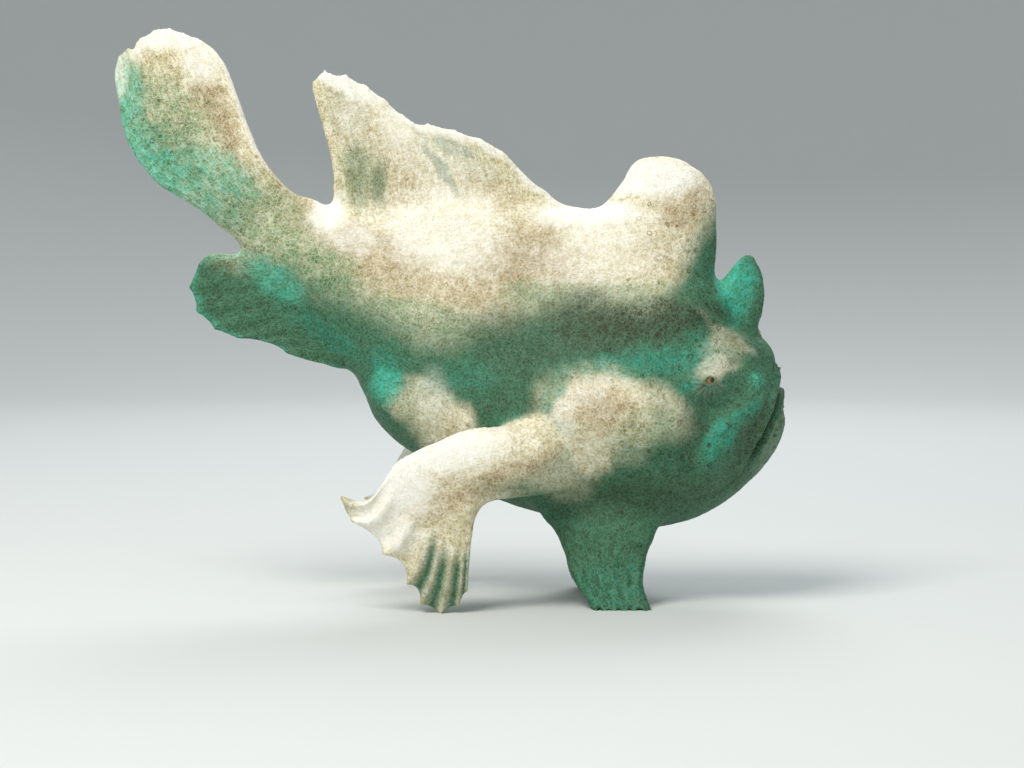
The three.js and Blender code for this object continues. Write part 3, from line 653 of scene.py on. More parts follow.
def mesh_object(name, vertices, triangles):
    mesh = bpy.data.meshes.new(name)
    mesh.vertices.add(len(vertices))
    mesh.vertices.foreach_set("co", np.asarray(vertices, np.float32).ravel())
    mesh.loops.add(triangles.size)
    mesh.loops.foreach_set("vertex_index", triangles.astype(np.int32).ravel())
    mesh.polygons.add(len(triangles))
    mesh.polygons.foreach_set("loop_start", np.arange(0, triangles.size, 3, dtype=np.int32))
    mesh.update(calc_edges=True)
    mesh.validate()
    return placed(name, mesh)


def placed(name, data):
    thing = bpy.data.objects.new(name, data)
    bpy.context.scene.collection.objects.link(thing)
    return thing


def joined(meshes):
    """Several meshes' vertices and triangles as one mesh's."""
    starts = np.cumsum([0] + [len(vertices) for vertices, _ in meshes[:-1]])
    triangles = [faces + start for (_, faces), start in zip(meshes, starts)]
    return np.concatenate([vertices for vertices, _ in meshes]), np.concatenate(triangles)


def fused(vertices, triangles):
    """One even skin of quads round everything."""
    source = mesh_object("skin_source", vertices, triangles)
    remesh = source.modifiers.new("fuse", "REMESH")
    remesh.mode = "VOXEL"
    remesh.voxel_size = VOXEL
    evaluated = source.evaluated_get(bpy.context.evaluated_depsgraph_get())
    mesh = bpy.data.meshes.new_from_object(evaluated)
    bpy.data.objects.remove(source)
    drop_islands(mesh)
    return mesh


def drop_islands(mesh):
    """Keeps only the largest connected piece."""
    a, b = read(mesh.edges, "vertices", np.int32, 2).T
    label = np.arange(len(mesh.vertices))
    changed = True
    while changed:
        lowest = label.copy()
        np.minimum.at(lowest, a, label[b])
        np.minimum.at(lowest, b, label[a])
        lowest = lowest[lowest]
        changed = (lowest != label).any()
        label = lowest
    stray = np.flatnonzero(label != np.bincount(label).argmax())
    if len(stray) == 0:
        return
    shape = bmesh.new()
    shape.from_mesh(mesh)
    shape.verts.ensure_lookup_table()
    bmesh.ops.delete(shape, geom=[shape.verts[int(index)] for index in stray], context="VERTS")
    shape.to_mesh(mesh)
    shape.free()


def read(items, name, kind, width):
    found = np.empty(len(items) * width, kind)
    items.foreach_get(name, found)
    return found.reshape(-1, width)


def neighbour_sums(a, b, values):
    """For each vertex, the sum of the values at the other ends of its edges a to b."""
    return np.bincount(a, values[b], len(values)) + np.bincount(b, values[a], len(values))


class Skin:
    """The fused skin's places, in millimetres, with its edges and faces."""

    def __init__(self, mesh):
        self.mesh = mesh
        self.co = read(mesh.vertices, "co", np.float32, 3).astype(float)
        self.edges = read(mesh.edges, "vertices", np.int32, 2)
        self.quads = read(mesh.loops, "vertex_index", np.int32, 4)

    def normals(self):
        corners = self.co[self.quads]
        across = np.cross(corners[:, 2] - corners[:, 0], corners[:, 3] - corners[:, 1])
        total = np.zeros_like(self.co)
        for corner in range(4):
            for axis in range(3):
                total[:, axis] += np.bincount(self.quads[:, corner], across[:, axis], len(self.co))
        return total / np.maximum(np.linalg.norm(total, axis=1, keepdims=True), 1e-9)

    def smooth(self, weight, rounds):
        """Moves each vertex towards the middle of its neighbours, by its weight, several times."""
        moving = weight > 1e-3
        edges = self.edges[moving[self.edges].any(axis=1)]
        used, local = np.unique(edges, return_inverse=True)
        a, b = local.reshape(-1, 2).T
        share = (weight[used] * moving[used])[:, None]
        count = neighbour_sums(a, b, np.ones(len(used)))[:, None]
        co = self.co[used]
        total = np.empty_like(co)
        for _ in range(rounds):
            for axis in range(3):
                total[:, axis] = neighbour_sums(a, b, co[:, axis])
            co += share * (total / count - co)
        self.co[used] = co

    def spread(self, values, rounds):
        """Evens out values along the skin, by the mean of each vertex's neighbours."""
        a, b = self.edges.T
        count = neighbour_sums(a, b, np.ones(len(values)))
        for _ in range(rounds):
            values = mix(values, neighbour_sums(a, b, values) / count, 0.7)
        return values

    def close_to(self, line, reach):
        """The vertices in reach of a line's places, which of these is nearest to each, and how far."""
        low, high = line.min(axis=0) - reach, line.max(axis=0) + reach
        close = np.flatnonzero(((self.co > low) & (self.co < high)).all(axis=1))
        return close, *nearest(tree_of(line), self.co[close])


def tree_of(places):
    tree = KDTree(len(places))
    for index, place in enumerate(places):
        tree.insert(place, index)
    tree.balance()
    return tree


def nearest(tree, places):
    """Index of, and distance to, the tree's nearest place for each given one."""
    found = [tree.find(place)[1:] for place in places]
    return np.array([index for index, _ in found]), np.array([distance for _, distance in found])


# Smooth and cellular noise at places in millimetres

def hashed(cells, seed):
    """Three even random numbers from 0 to 1 for each whole-numbered cell."""
    x, y, z = (cells[..., axis].astype(np.uint32) for axis in range(3))
    h = x * np.uint32(73856093) ^ y * np.uint32(19349663) ^ z * np.uint32(83492791)
    h ^= np.uint32(seed * 2654435761 % 2 ** 32)
    numbers = []
    for salt in (0x85ebca6b, 0xc2b2ae35, 0x27d4eb2f):
        h = (h ^ (h >> np.uint32(15))) * np.uint32(salt)
        h ^= h >> np.uint32(13)
        numbers.append((h & np.uint32(0xffffff)).astype(np.float32) / 0xffffff)
    return np.stack(numbers, axis=-1)


def noise(places, wavelength, seed):
    """Smooth noise from about -1 to 1."""
    scaled = np.asarray(places, np.float32) / wavelength
    cell = np.floor(scaled).astype(np.int64)
    inside = scaled - cell
    fade = inside ** 3 * (inside * (inside * 6 - 15) + 10)
    total = 0
    for corner in itertools.product((0, 1), repeat=3):
        corner = np.array(corner)
        slope = hashed(cell + corner, seed) * 2 - 1
        weight = np.where(corner, fade, 1 - fade).prod(axis=-1)
        total = total + weight * (slope * (inside - corner)).sum(axis=-1)
    return 1.5 * total


def cell_distance(places, spacing, seed):
    """How far the nearest of many scattered places is, as a share of their spacing."""
    scaled = np.asarray(places, np.float32) / spacing
    cell = np.floor(scaled).astype(np.int64)
    least = np.full(len(scaled), 9, np.float32)
    for step in itertools.product((-1, 0, 1), repeat=3):
        near = cell + np.array(step)
        least = np.minimum(least, ((near + hashed(near, seed) - scaled) ** 2).sum(axis=-1))
    return np.sqrt(least)


# Details of the skin

BLEND_WIDTH = {
    "dorsal": 6, "caudal": 7, "anal": 5, "third_spine": 11, "second_spine": 6, "arm": 11, "hand": 6,
    "leg": 10,
}
BLEND_ROUNDS = 180


def labelled(skin, parts):
    """The parts' names and, for each skin vertex, the part that it came from and its place there."""
    names, vertices, _, sheets = zip(*parts)
    part = np.repeat(np.arange(len(parts)), [len(places) for places in vertices])
    index, _ = nearest(tree_of(np.concatenate(vertices)), skin.co)
    return names, part[index], np.concatenate(sheets)[index]


def blend_joints(skin, names, part):
    """Rounds the crease where each part grows from the next."""
    weight = np.zeros(len(skin.co))
    for i, name in enumerate(names):
        if name not in BLEND_WIDTH:
            continue
        width = BLEND_WIDTH[name]
        inside = part == i
        crossing = skin.edges[inside[skin.edges].sum(axis=1) == 1]
        close, _, distance = skin.close_to(skin.co[crossing].mean(axis=1), width)
        weight[close] = np.maximum(weight[close], 1 - smoothstep(distance, 0.25 * width, width))
    skin.smooth(weight * 0.8, BLEND_ROUNDS)


def flank_frame(place, side):
    """A place of the right (1) or left (-1) flank, and the ways out, forward and up there."""
    row, turn = flank_at(place)
    out = skin_normal(row, turn)
    forward = np.array([-out[1], out[0], 0]) / math.hypot(out[0], out[1])
    up = np.cross(out, forward)
    flip = np.array([1, side, 1])
    return skin_place(row, turn) * flip, out * flip, forward * flip, up * flip


def eye_frame(side):
    """An eye's centre, and the ways out, forward and up from it."""
    surface, out, forward, up = flank_frame(EYE["place"], side)
    return surface - EYE["sunk"] * out, out, forward, up


def around(co, centre, out, forward, up):
    """Each place's distance from an axis, its height along it and its angle round it."""
    offset = co - centre
    ahead, above = offset @ forward, offset @ up
    return np.hypot(ahead, above), offset @ out, np.arctan2(above, ahead)


def sculpt_lids(skin):
    for side in (1, -1):
        centre, out, forward, up = eye_frame(side)
        radius, height, angle = around(skin.co, centre, out, forward, up)
        close = (radius < LID["reach"]) & (np.abs(height) < LID["reach"])
        r, a = radius[close], angle[close]
        above = np.sin(a)
        opening = EYE["opening"] - LID["narrowing"] * above ** 2 - LID["droop"] * above
        rim = (LID["rim"] + LID["brow"] * above) * bump(r - opening - LID["rim_place"], LID["rim_width"])
        pit = -LID["pit"] * (1 - smoothstep(r, opening - 0.5, opening + 0.05))
        waves = np.cos(LID["folds"] * a + 1.5 * np.sin(2 * a))
        folds = LID["fold_rise"] * waves * bump(r - LID["fold_place"], LID["fold_width"])
        outer = bump(r - LID["outer_place"] - 0.6 * above, LID["outer_width"])
        outer_fold = LID["outer_rise"] * outer * smoothstep(np.abs(a), 0.2, 1.2)
        skin.co[close] += (rim + pit + folds + outer_fold)[:, None] * out


# Fine folds of the face, as places [along, height] on the flank, with their rise and width
FACE_FOLDS = [
    ([(150, 27.5), (157.7, 25.1), (165.5, 22.5), (173.9, 21.3), (181, 20)], 2.2, 1.8),
    ([(154, 31), (162, 28.6), (170, 27.2), (179, 26)], -2, 2.6),
    ([(170, 11), (175, 14), (177, 17)], -0.9, 2),
    ([(158, 10), (163, 13.5), (169, 14)], -0.6, 1.2),
    ([(158, -1), (165, -5), (173, -4.5), (178, 0)], -0.9, 1.6),
    ([(177, -39), (183.3, -36.3), (188.1, -28.9), (189.6, -25.5)], -0.8, 0.8),
    ([(172, -30), (165, -27), (158, -20)], -0.9, 1.3),
    ([(168, -34), (161, -34), (153, -30)], -0.8, 1.4),
    ([(184, 4), (179, -6), (174, -16), (171, -26)], 1.1, 2.2),
    ([(188, 9), (184, 3), (181, -1)], -0.7, 1.2),
]


def sculpt_folds(skin, normals):
    for places, rise, width in FACE_FOLDS:
        line, _ = spline(places, 60)
        fade = np.sin(math.pi * np.linspace(0.04, 0.96, 60)) ** 0.5
        for side in (1, -1):
            route = np.array([skin_place(row, side * turn) for row, turn in map(flank_at, line)])
            close, index, distance = skin.close_to(route, 3 * width)
            height = rise * fade[index] * bump(distance, width)
            skin.co[close] += normals[close] * height[:, None]


# Warts as [along, height], radius and rise, on both flanks: the one at the nostril is the tallest
NOSTRIL = (182.7, 10)
FLANK_WARTS = [
    (NOSTRIL, 1.2, 1.4), ((185.2, 23.5), 0.6, 1.1), ((188.7, 19.6), 0.6, 1.0),
    ((174.5, 12), 0.9, 0.6), ((187.5, 16.5), 0.8, 0.9), ((190, 11), 0.7, 0.8),
    ((160, 30), 0.8, 0.7), ((152, 36), 0.7, 0.6), ((170, 26), 0.6, 0.5), ((147, 8), 0.9, 0.4),
    ((128, -14), 1.1, 0.4), ((137, -4), 0.8, 0.35), ((113, 3), 0.9, 0.4), ((181, -20), 0.7, 0.5),
]
LIP_WARTS = 46
LIP_WARTS_SPREAD = 112
LIP_WART_ROWS = [-4.4, -3.2, 3.4, 5.5, 9, 13]
LATERAL_LINE = [(150, 22), (128, 30), (100, 24), (70, 12), (45, 2), (22, -6), (4, -10)]
PORE_RADIUS = 0.55
PORE_RISE = 0.35


def lip_warts(random):
    """Small warts along both lips and the edge of the jaw, as places, radii and rises."""
    warts = []
    for k in range(LIP_WARTS):
        turn = math.radians(LIP_WARTS_SPREAD * mix(-1, 1, (k + random.random()) / LIP_WARTS))
        off = random.choice(LIP_WART_ROWS)
        row = mouth_row(turn) - (off + random.normal(0, 0.5)) / MOUTH_ROW_SCALE
        size = random.uniform(0.45, 0.8)
        warts.append((skin_place(row, turn), size, size * random.uniform(0.9, 1.9)))
    return warts


def flank_warts(random):
    """The warts and the pores of the lateral line, on both flanks."""
    warts = []
    line, _ = spline(LATERAL_LINE, 90)
    pores = [(place, PORE_RADIUS, PORE_RISE) for place in line[::3]]
    for place, radius, rise in FLANK_WARTS + pores:
        row, turn = flank_at(place)
        for side in (1, -1):
            shift = random.normal(0, 0.3, 3)
            warts.append((skin_place(row, side * turn) + shift, radius, rise))
    return warts


def raise_warts(skin, normals):
    random = np.random.default_rng(11)
    tree = tree_of(skin.co)
    for place, radius, rise in lip_warts(random) + flank_warts(random):
        found = tree.find_range(place, 3 * radius + 1)
        if not found:
            continue
        index = np.array([i for _, i, _ in found])
        distance = np.array([d for _, _, d in found])
        height = rise * bump(distance, radius)
        skin.co[index] += normals[index] * height[:, None]


# The skin's lumps as rise, size and the seed of their noise, and its close grains
LUMPS = [(0.45, 17, 1), (0.22, 8, 2), (0.1, 3.6, 3)]
GRAIN_RISE = 0.16
GRAIN_SPACING = 1.7


def raise_grain(skin, normals, part, names, sheet):
    """Lumps, fine folds and the small close bumps of the skin, with fewer lumps at the fins' edges."""
    co = skin.co
    thin = np.isin(part, [names.index(name) for name in ("dorsal", "caudal", "anal", "hand")])
    calm = mix(1, 0.35, thin * smoothstep(sheet[:, 1], 0.3, 0.9))
    lumps = sum(rise * noise(co, size, seed) for rise, size, seed in LUMPS)
    grains = GRAIN_RISE * (0.55 - cell_distance(co, GRAIN_SPACING, 4)) + 0.06 * noise(co, 1.5, 5)
    skin.co += normals * (calm * lumps + grains)[:, None]


# Where the skin's colours lie, read from the photo, in its pixels, with the depth of what
# shows there. Most of them are painted light and shade: the shade of the lower side with its lit
# patches, deep shade, water light and highlights. A soft patch is its middle, right and down, its
# half sizes, its tilt in degrees and its strength. SHADE_EDGE is the line that the painted shade of
# the lower side begins at.
FINS = -2
FLANK = -26
LIMBS = -42
SHADE_EDGE = {
    FINS: [
        (150, 205), (200, 243), (262, 262), (300, 276), (706, 226), (722, 204), (742, 186),
    ],
    FLANK: [
        (340, 290), (380, 310), (420, 332), (460, 328), (500, 312), (540, 298), (580, 294), (620, 300),
        (650, 302), (668, 294), (682, 274), (694, 250),
    ],
}
LIT_PATCHES = {
    FLANK: [
        (603, 408, 60, 39, -8, 1.0), (650, 408, 44, 26, -28, 0.6), (580, 446, 36, 32, 0, 0.9),
        (570, 484, 24, 18, 0, 0.35), (412, 400, 24, 24, 0, 0.8), (442, 424, 36, 28, -35, 1.0),
        (715, 366, 18, 13, 30, 0.75), (725, 351, 24, 20, 44, 0.42), (774, 446, 5, 40, -27, 0.1),
        (734, 339, 26, 6, -34, 0.5), (708, 320, 16, 4, -42, 0.25), (616, 436, 34, 24, -24, 0.4),
    ],
}
LIMB_LIT_PATCHES = {
    LIMBS: [(480, 448, 110, 42, 10, 1.0), (420, 540, 100, 100, 0, 1.0), (556, 468, 40, 30, 0, 0.6)],
}
# Painted deep shade, darker still than the shade of the lower side
DEEP_SHADE_PATCHES = {
    FLANK: [
        (640, 322, 76, 20, 5, 1.0), (590, 328, 52, 28, 0, 0.85), (520, 345, 62, 30, -20, 0.45),
        (590, 298, 18, 9, 0, 0.6), (500, 402, 50, 16, -10, 0.3), (690, 428, 14, 36, -14, 0.4),
        (753, 432, 34, 9, 62, 0.75), (703, 436, 4, 12, -25, 0.5), (650, 496, 90, 22, 6, 0.5),
        (735, 478, 26, 16, 40, 0.5),
    ],
}
SHADED_PATCHES = {
    FINS: [
        (360, 176, 13, 28, 5, 0.45), (380, 184, 7, 23, -4, 0.6), (443, 172, 30, 5, -58, 0.7),
        (452, 147, 20, 7, -25, 0.5), (418, 132, 20, 3, -50, 0.35),
    ],
}
# Olive, partly painted half shade along the shade's borders
HALF_SHADE_OLIVE_PATCHES = {
    FINS: [
        (168, 128, 60, 38, -60, 0.9), (262, 220, 66, 38, -38, 0.8), (358, 172, 22, 36, 0, 0.4),
        (462, 160, 44, 13, -22, 0.3), (345, 105, 20, 30, 20, 0.35),
    ],
    FLANK: [
        (300, 268, 64, 28, -22, 1.0), (640, 440, 34, 26, -20, 0.5), (420, 318, 70, 18, -12, 0.7),
        (650, 296, 64, 14, 0, 0.5), (540, 292, 40, 12, 0, 0.5), (418, 408, 26, 36, 8, 0.4),
        (650, 425, 30, 22, -28, 0.5),
    ],
}
BLOOM_PATCHES = {
    FLANK: [
        (520, 262, 62, 36, 15, 0.8), (548, 238, 8, 38, -14, 0.75), (480, 292, 56, 18, -8, 0.65),
        (362, 256, 66, 28, -14, 0.8), (400, 290, 60, 16, -18, 0.6), (640, 252, 56, 30, 6, 0.2),
        (608, 410, 40, 24, -8, 0.75), (680, 270, 20, 14, 0, 0.4), (742, 341, 18, 7, -34, 0.6),
    ],
    FINS: [
        (304, 216, 44, 20, -38, 0.75), (392, 172, 28, 34, 0, 0.45), (350, 118, 18, 34, 30, 0.5),
        (682, 206, 26, 28, -30, 0.8), (216, 112, 58, 13, -66, 0.9), (480, 190, 50, 14, -24, 0.35),
    ],
}
LIMB_BLOOM_PATCHES = {LIMBS: [(500, 480, 70, 12, 22, 0.9), (424, 502, 40, 22, 10, 0.6)]}
# Painted highlights where the light falls brightest
PAINTED_HIGHLIGHT_PATCHES = {
    FLANK: [
        (440, 236, 66, 38, -14, 0.66), (592, 262, 60, 26, 0, 0.45), (430, 402, 16, 30, -10, 0.4),
        (348, 236, 34, 18, -10, 0.6), (458, 200, 46, 22, -20, 0.6), (600, 236, 44, 20, 0, 0.6),
        (714, 367, 12, 8, 20, 0.3), (562, 428, 11, 34, -8, 0.5), (588, 392, 26, 12, 20, 0.4),
        (470, 268, 30, 10, 0, 0.4),
    ],
    FINS: [
        (650, 178, 50, 20, 0, 1.0), (588, 214, 54, 15, 0, 1.0), (330, 214, 18, 24, 0, 0.95),
        (346, 82, 44, 13, -26, 0.95), (396, 132, 22, 16, -30, 0.7), (425, 125, 52, 9, -20, 0.95),
        (500, 150, 52, 9, -28, 0.85), (542, 188, 42, 8, -40, 0.85), (170, 38, 42, 13, 5, 0.95),
        (200, 62, 20, 24, 20, 0.75), (430, 156, 60, 26, -24, 0.5), (350, 110, 20, 30, 20, 0.5),
        (116, 76, 7, 30, 0, 0.6),
    ],
}
# Painted highlights on the tops of the arms
LIMB_PAINTED_HIGHLIGHT_PATCHES = {
    LIMBS: [(446, 450, 62, 26, 12, 1.0), (400, 482, 36, 36, 40, 1.0), (384, 524, 36, 26, -30, 0.9)],
}
# Painted water light, a bright teal at the shade's edges
WATER_LIGHT_AQUA_PATCHES = {
    FLANK: [
        (640, 362, 78, 15, 5, 0.7), (554, 392, 8, 34, -24, 0.65), (460, 385, 34, 24, 0, 0.35),
        (532, 424, 34, 8, -8, 0.5), (384, 376, 20, 26, 24, 0.75), (322, 336, 44, 12, -32, 0.5),
        (702, 348, 13, 30, 10, 0.5), (720, 438, 12, 27, -32, 0.95), (742, 413, 18, 8, 25, 0.7),
        (688, 384, 15, 5, 35, 0.7), (612, 585, 40, 26, 0, 0.35),
    ],
    FINS: [
        (736, 290, 16, 32, -8, 1.0), (182, 172, 74, 26, -40, 0.62), (222, 178, 40, 26, -34, 0.45),
        (128, 106, 18, 46, 6, 0.5), (270, 280, 34, 14, -34, 0.6),
    ],
}
# Painted bright water light on the fins' lower edges and the flank
BRIGHT_WATER_LIGHT_PATCHES = {
    FLANK: [(384, 386, 15, 18, 20, 0.7)],
    FINS: [
        (728, 272, 12, 26, -14, 0.7), (744, 290, 12, 30, -8, 0.3), (276, 278, 36, 14, -34, 0.45),
        (124, 100, 14, 44, 2, 0.5), (176, 180, 66, 18, -40, 0.4), (222, 170, 34, 18, -34, 0.35),
    ],
}
LIMB_ROUNDS = 30

# How far the patches' borders wander, as a distance and the size of the waves, both in millimetres
WANDERING = [(1.8, 14, 21), (1.3, 5, 23)]


def pixels_wide():
    """How many of the photo's pixels the lens is from its picture."""
    return LENS / SENSOR_WIDTH * PHOTO_SIZE[0]


def photo_place(right, down, depth):
    """The [x, z] place at a depth that one of the photo's pixels shows."""
    aside = (right - PHOTO_SIZE[0] / 2) / pixels_wide()
    up = (PHOTO_SIZE[1] / 2 - down) / pixels_wide()
    tilt = CAMERA_TILT - math.pi / 2
    away = (depth - CAMERA_PLACE[1]) / (math.cos(tilt) - up * math.sin(tilt))
    return CAMERA_PLACE[0] + away * aside, CAMERA_PLACE[2] + away * (math.sin(tilt) + up * math.cos(tilt))


def patches(co, places, softness):
    """How much of soft, tilted patches lies at each place, from 0 to 1."""
    covered = np.zeros(len(co))
    rows = [(depth, *row) for depth, group in places.items() for row in group]
    for depth, right, down, long, wide, tilt, strength in rows:
        x, z = photo_place(right, down, depth)
        dx, dz = co[:, 0] - x, co[:, 2] - z
        turn = math.radians(tilt)
        pixel = (depth - CAMERA_PLACE[1]) / pixels_wide()
        across = (dx * math.cos(turn) + dz * math.sin(turn)) / (long * pixel)
        up = (dz * math.cos(turn) - dx * math.sin(turn)) / (wide * pixel)
        here = strength * (1 - smoothstep(np.hypot(across, up), 1 - softness, 1 + softness))
        covered = np.maximum(covered, here)
    return covered


def wandering(co):
    """Places moved about a little, so that the patches' borders are ragged."""
    aside = sum(reach * noise(co, size, seed) for reach, size, seed in WANDERING)
    up = sum(reach * noise(co, size, seed + 1) for reach, size, seed in WANDERING)
    return co + np.stack([aside, 0 * aside, up], axis=1)


def star(co, radius, angle, spokes, middle, reach):
    """Streaks that run out from a middle, from 0 to 1."""
    waves = 0.5 + 0.5 * np.cos(spokes * angle + 2 * noise(co, 3, 9))
    return waves * bump(radius - middle, reach)


def eye_spokes(co):
    """Pale streaks that run out from the eyes, and the pale rim of each lid."""
    on_right = co[:, 1] < 0
    right, left = (around(co, *flank_frame(EYE["place"], side)) for side in (1, -1))
    radius, _, angle = (np.where(on_right, a, b) for a, b in zip(right, left))
    streaks = star(co, radius, angle, 17, 4.4, 2.2)
    return np.maximum(0.3 * streaks, 0.28 * bump(radius - EYE["opening"] - 0.3, 0.5))


def nostril_star(co):
    """Streaks like hairs that stand out round each nostril, painted with bright water light."""
    stars = []
    for side in (1, -1):
        radius, _, angle = around(co, *flank_frame(NOSTRIL, side))
        near = (co[:, 1] * side < 0) & (co[:, 0] > 80)
        stars.append(near * np.maximum(star(co, radius, angle, 13, 1.2, 2.4), bump(radius, 0.9)))
    return stars[0] + stars[1]


def shade_share(moved):
    """The shade of the lower side, below its soft edge."""
    edge = sorted(photo_place(*pixel, depth) for depth, group in SHADE_EDGE.items() for pixel in group)
    below = np.interp(moved[:, 0], *np.array(edge).T) - moved[:, 2]
    return smoothstep(below, -10, 12)


def finger_groove_shade(u, v, near_ray):
    """Painted shade over a hand's lower fingers, deepest in the grooves between them."""
    low = smoothstep(v, 0.34, 0.6) * (1 - smoothstep(u, 0.4, 0.52))
    return low * (0.42 + 0.58 * (1 - near_ray) ** 1.3)


def fin_margins(u, v, part_is):
    """Painted rim light on the fins' upper margins, and bright water light painted on their lower sides."""
    edge = np.minimum(u, 1 - u)
    margin = np.maximum(smoothstep(v, 0.88, 0.97), 1 - smoothstep(edge, 0.01, 0.09))
    margin *= smoothstep(v, 0.1, 0.35)
    under = np.maximum(1 - smoothstep(u, 0.12, 0.4), part_is("anal"))
    pale = 0.8 * margin * part_is("dorsal", "caudal", "anal") * (1 - under)
    low_side = smoothstep(v, 0.1, 0.4) * (1 - smoothstep(edge, 0.05, 0.3)) * under
    bright = np.maximum(0.7 * part_is("caudal") * low_side, 0.35 * margin * part_is("anal"))
    return pale, bright


def colour_masks(skin, part, names, sheet):
    """Named shares from 0 to 1 for each vertex, which the skin's material mixes its colours by, and
    the lie of the fins' streaks in millimetres. Several of them are painted light: the shade, the deep
    shade, the olive half shade, the highlights and the water light."""
    def part_is(*wanted):
        return np.isin(part, [i for i, name in enumerate(names) if name in wanted])

    def covered(on_body, on_limbs, softness=0.5):
        return mix(patches(moved, on_body, softness), patches(moved, on_limbs, softness), limb)

    co = skin.co
    u, v, across, outward = sheet.T
    moved = wandering(co)
    limb = skin.spread(part_is("arm", "hand").astype(float), LIMB_ROUNDS)
    near_ray, _ = ray_terms(u, PECTORAL_FIN)
    hand = part_is("hand")
    grooves = hand * finger_groove_shade(u, v, near_ray)
    shade = shade_share(moved) * (1 - covered(LIT_PATCHES, LIMB_LIT_PATCHES, 0.38))
    shade = np.maximum(shade, covered(SHADED_PATCHES, {}))
    rim_light_margin, water_light_margin = fin_margins(u, v, part_is)
    # Painted shade in the furrow of the mouth
    mouth = part_is("body") * v * bump(u, 1.5)
    streaked = np.maximum(part_is("dorsal", "caudal", "anal"), part_is("leg") * smoothstep(v, 0.3, 0.5))
    ringed = np.maximum(smoothstep(co[:, 0], 45, 80), 0.6 * smoothstep(-co[:, 0], 40, 75))
    # Painted bright water light, which the streaks round the nostrils take too
    bright = np.maximum(covered(BRIGHT_WATER_LIGHT_PATCHES, {}), 0.8 * nostril_star(co))
    return {
        "shade": np.maximum(shade, grooves),
        # Painted deep shade, and painted shade along the mouth's furrow
        "dark": np.maximum(covered(DEEP_SHADE_PATCHES, {}), 0.9 * mouth),
        "half_shade_olive": covered(HALF_SHADE_OLIVE_PATCHES, {}),
        "bloom": covered(BLOOM_PATCHES, LIMB_BLOOM_PATCHES) * (1 - 0.6 * shade),
        "pale": np.maximum(covered(PAINTED_HIGHLIGHT_PATCHES, LIMB_PAINTED_HIGHLIGHT_PATCHES), rim_light_margin),
        "water_light_aqua": covered(WATER_LIGHT_AQUA_PATCHES, {}),
        "bright_water_light": np.maximum(water_light_margin, bright),
        "tips": hand * smoothstep(v, 0.955, 0.99) * near_ray ** 2,
        "spokes": eye_spokes(co),
        "fin": skin.spread(streaked, 2),
        "ringed": ringed * 0.6 + 0.35,
        "across": across,
        "outward": outward,
    }


# Materials

def colour(red, green, blue):
    """A colour given as it shows on a screen, from 0 to 255, for a shader's socket."""
    shares = [channel / 255 for channel in (red, green, blue)]
    return (*[s / 12.92 if s <= 0.04045 else ((s + 0.055) / 1.055) ** 2.4 for s in shares], 1)


class Shading:
    """A material whose nodes are added by kind, with their inputs by name or number."""

    def __init__(self, name):
        self.material = bpy.data.materials.new(name)
        self.material.use_nodes = True
        self.tree = self.material.node_tree
        self.surface = self.tree.nodes["Principled BSDF"]

    def add(self, kind, inputs=(), output=0, **settings):
        node = self.tree.nodes.new("ShaderNode" + kind)
        for name, value in settings.items():
            setattr(node, name, value)
        for socket, value in dict(inputs).items():
            self.feed(node.inputs[socket], value)
        return node.outputs[output]

    def feed(self, socket, value):
        if isinstance(value, bpy.types.NodeSocket):
            self.tree.links.new(value, socket)
        else:
            socket.default_value = value

    def finish(self, **inputs):
        for name, value in inputs.items():
            self.feed(self.surface.inputs[name.replace("_", " ")], value)
        return self.material

    def mask(self, name):
        return self.add("Attribute", output="Fac", attribute_name=name)

    def maths(self, operation, a, b=0.0):
        return self.add("Math", {0: a, 1: b}, operation=operation)

    def blended(self, a, b, share, blend="MIX"):
        inputs = {0: share, 6: a, 7: b}
        return self.add("Mix", inputs, output=2, data_type="RGBA", blend_type=blend)

    def ranged(self, value, low, high, start=0.0, end=1.0):
        inputs = {"Value": value, "From Min": low, "From Max": high, "To Min": start, "To Max": end}
        return self.add("MapRange", inputs, interpolation_type="SMOOTHSTEP")

    def noise(self, places, size, detail=2.0, output="Fac"):
        """Noise whose features are about size across, in metres."""
        inputs = {"Vector": places, "Scale": 1 / size, "Detail": detail}
        return self.add("TexNoise", inputs, output=output)

    def cells(self, places, spacing, output="Distance", feature="F1"):
        inputs = {"Vector": places, "Scale": 1 / spacing}
        return self.add("TexVoronoi", inputs, output=output, feature=feature)

    def wavy(self, places, size, reach):
        """The same places moved about by noise, so that lines drawn by them are wavy."""
        waves = self.noise(places, size, output="Color")
        centred = self.add("VectorMath", {0: waves, 1: (0.5, 0.5, 0.5)}, operation="SUBTRACT")
        aside = self.add("VectorMath", {0: centred, "Scale": reach}, operation="SCALE")
        return self.add("VectorMath", {0: places, 1: aside}, operation="ADD")


# The skin's colours, some of them painted shade, water light and highlights, and the sizes of its marks in
# metres
CREAM = colour(249, 242, 217)
SAND = colour(220, 209, 166)
BLOOM = colour(178, 153, 106)
# Olive, partly painted half shade
HALF_SHADE_OLIVE = colour(122, 160, 108)
# Painted shade of the lower side, and painted deep shade
PAINTED_SHADE_GREEN = colour(62, 115, 86)
PAINTED_DEEP_SHADE = colour(58, 70, 38)
# Painted water light, and its brightest edges
WATER_LIGHT_AQUA = colour(30, 150, 128)
BRIGHT_WATER_LIGHT = colour(78, 214, 190)
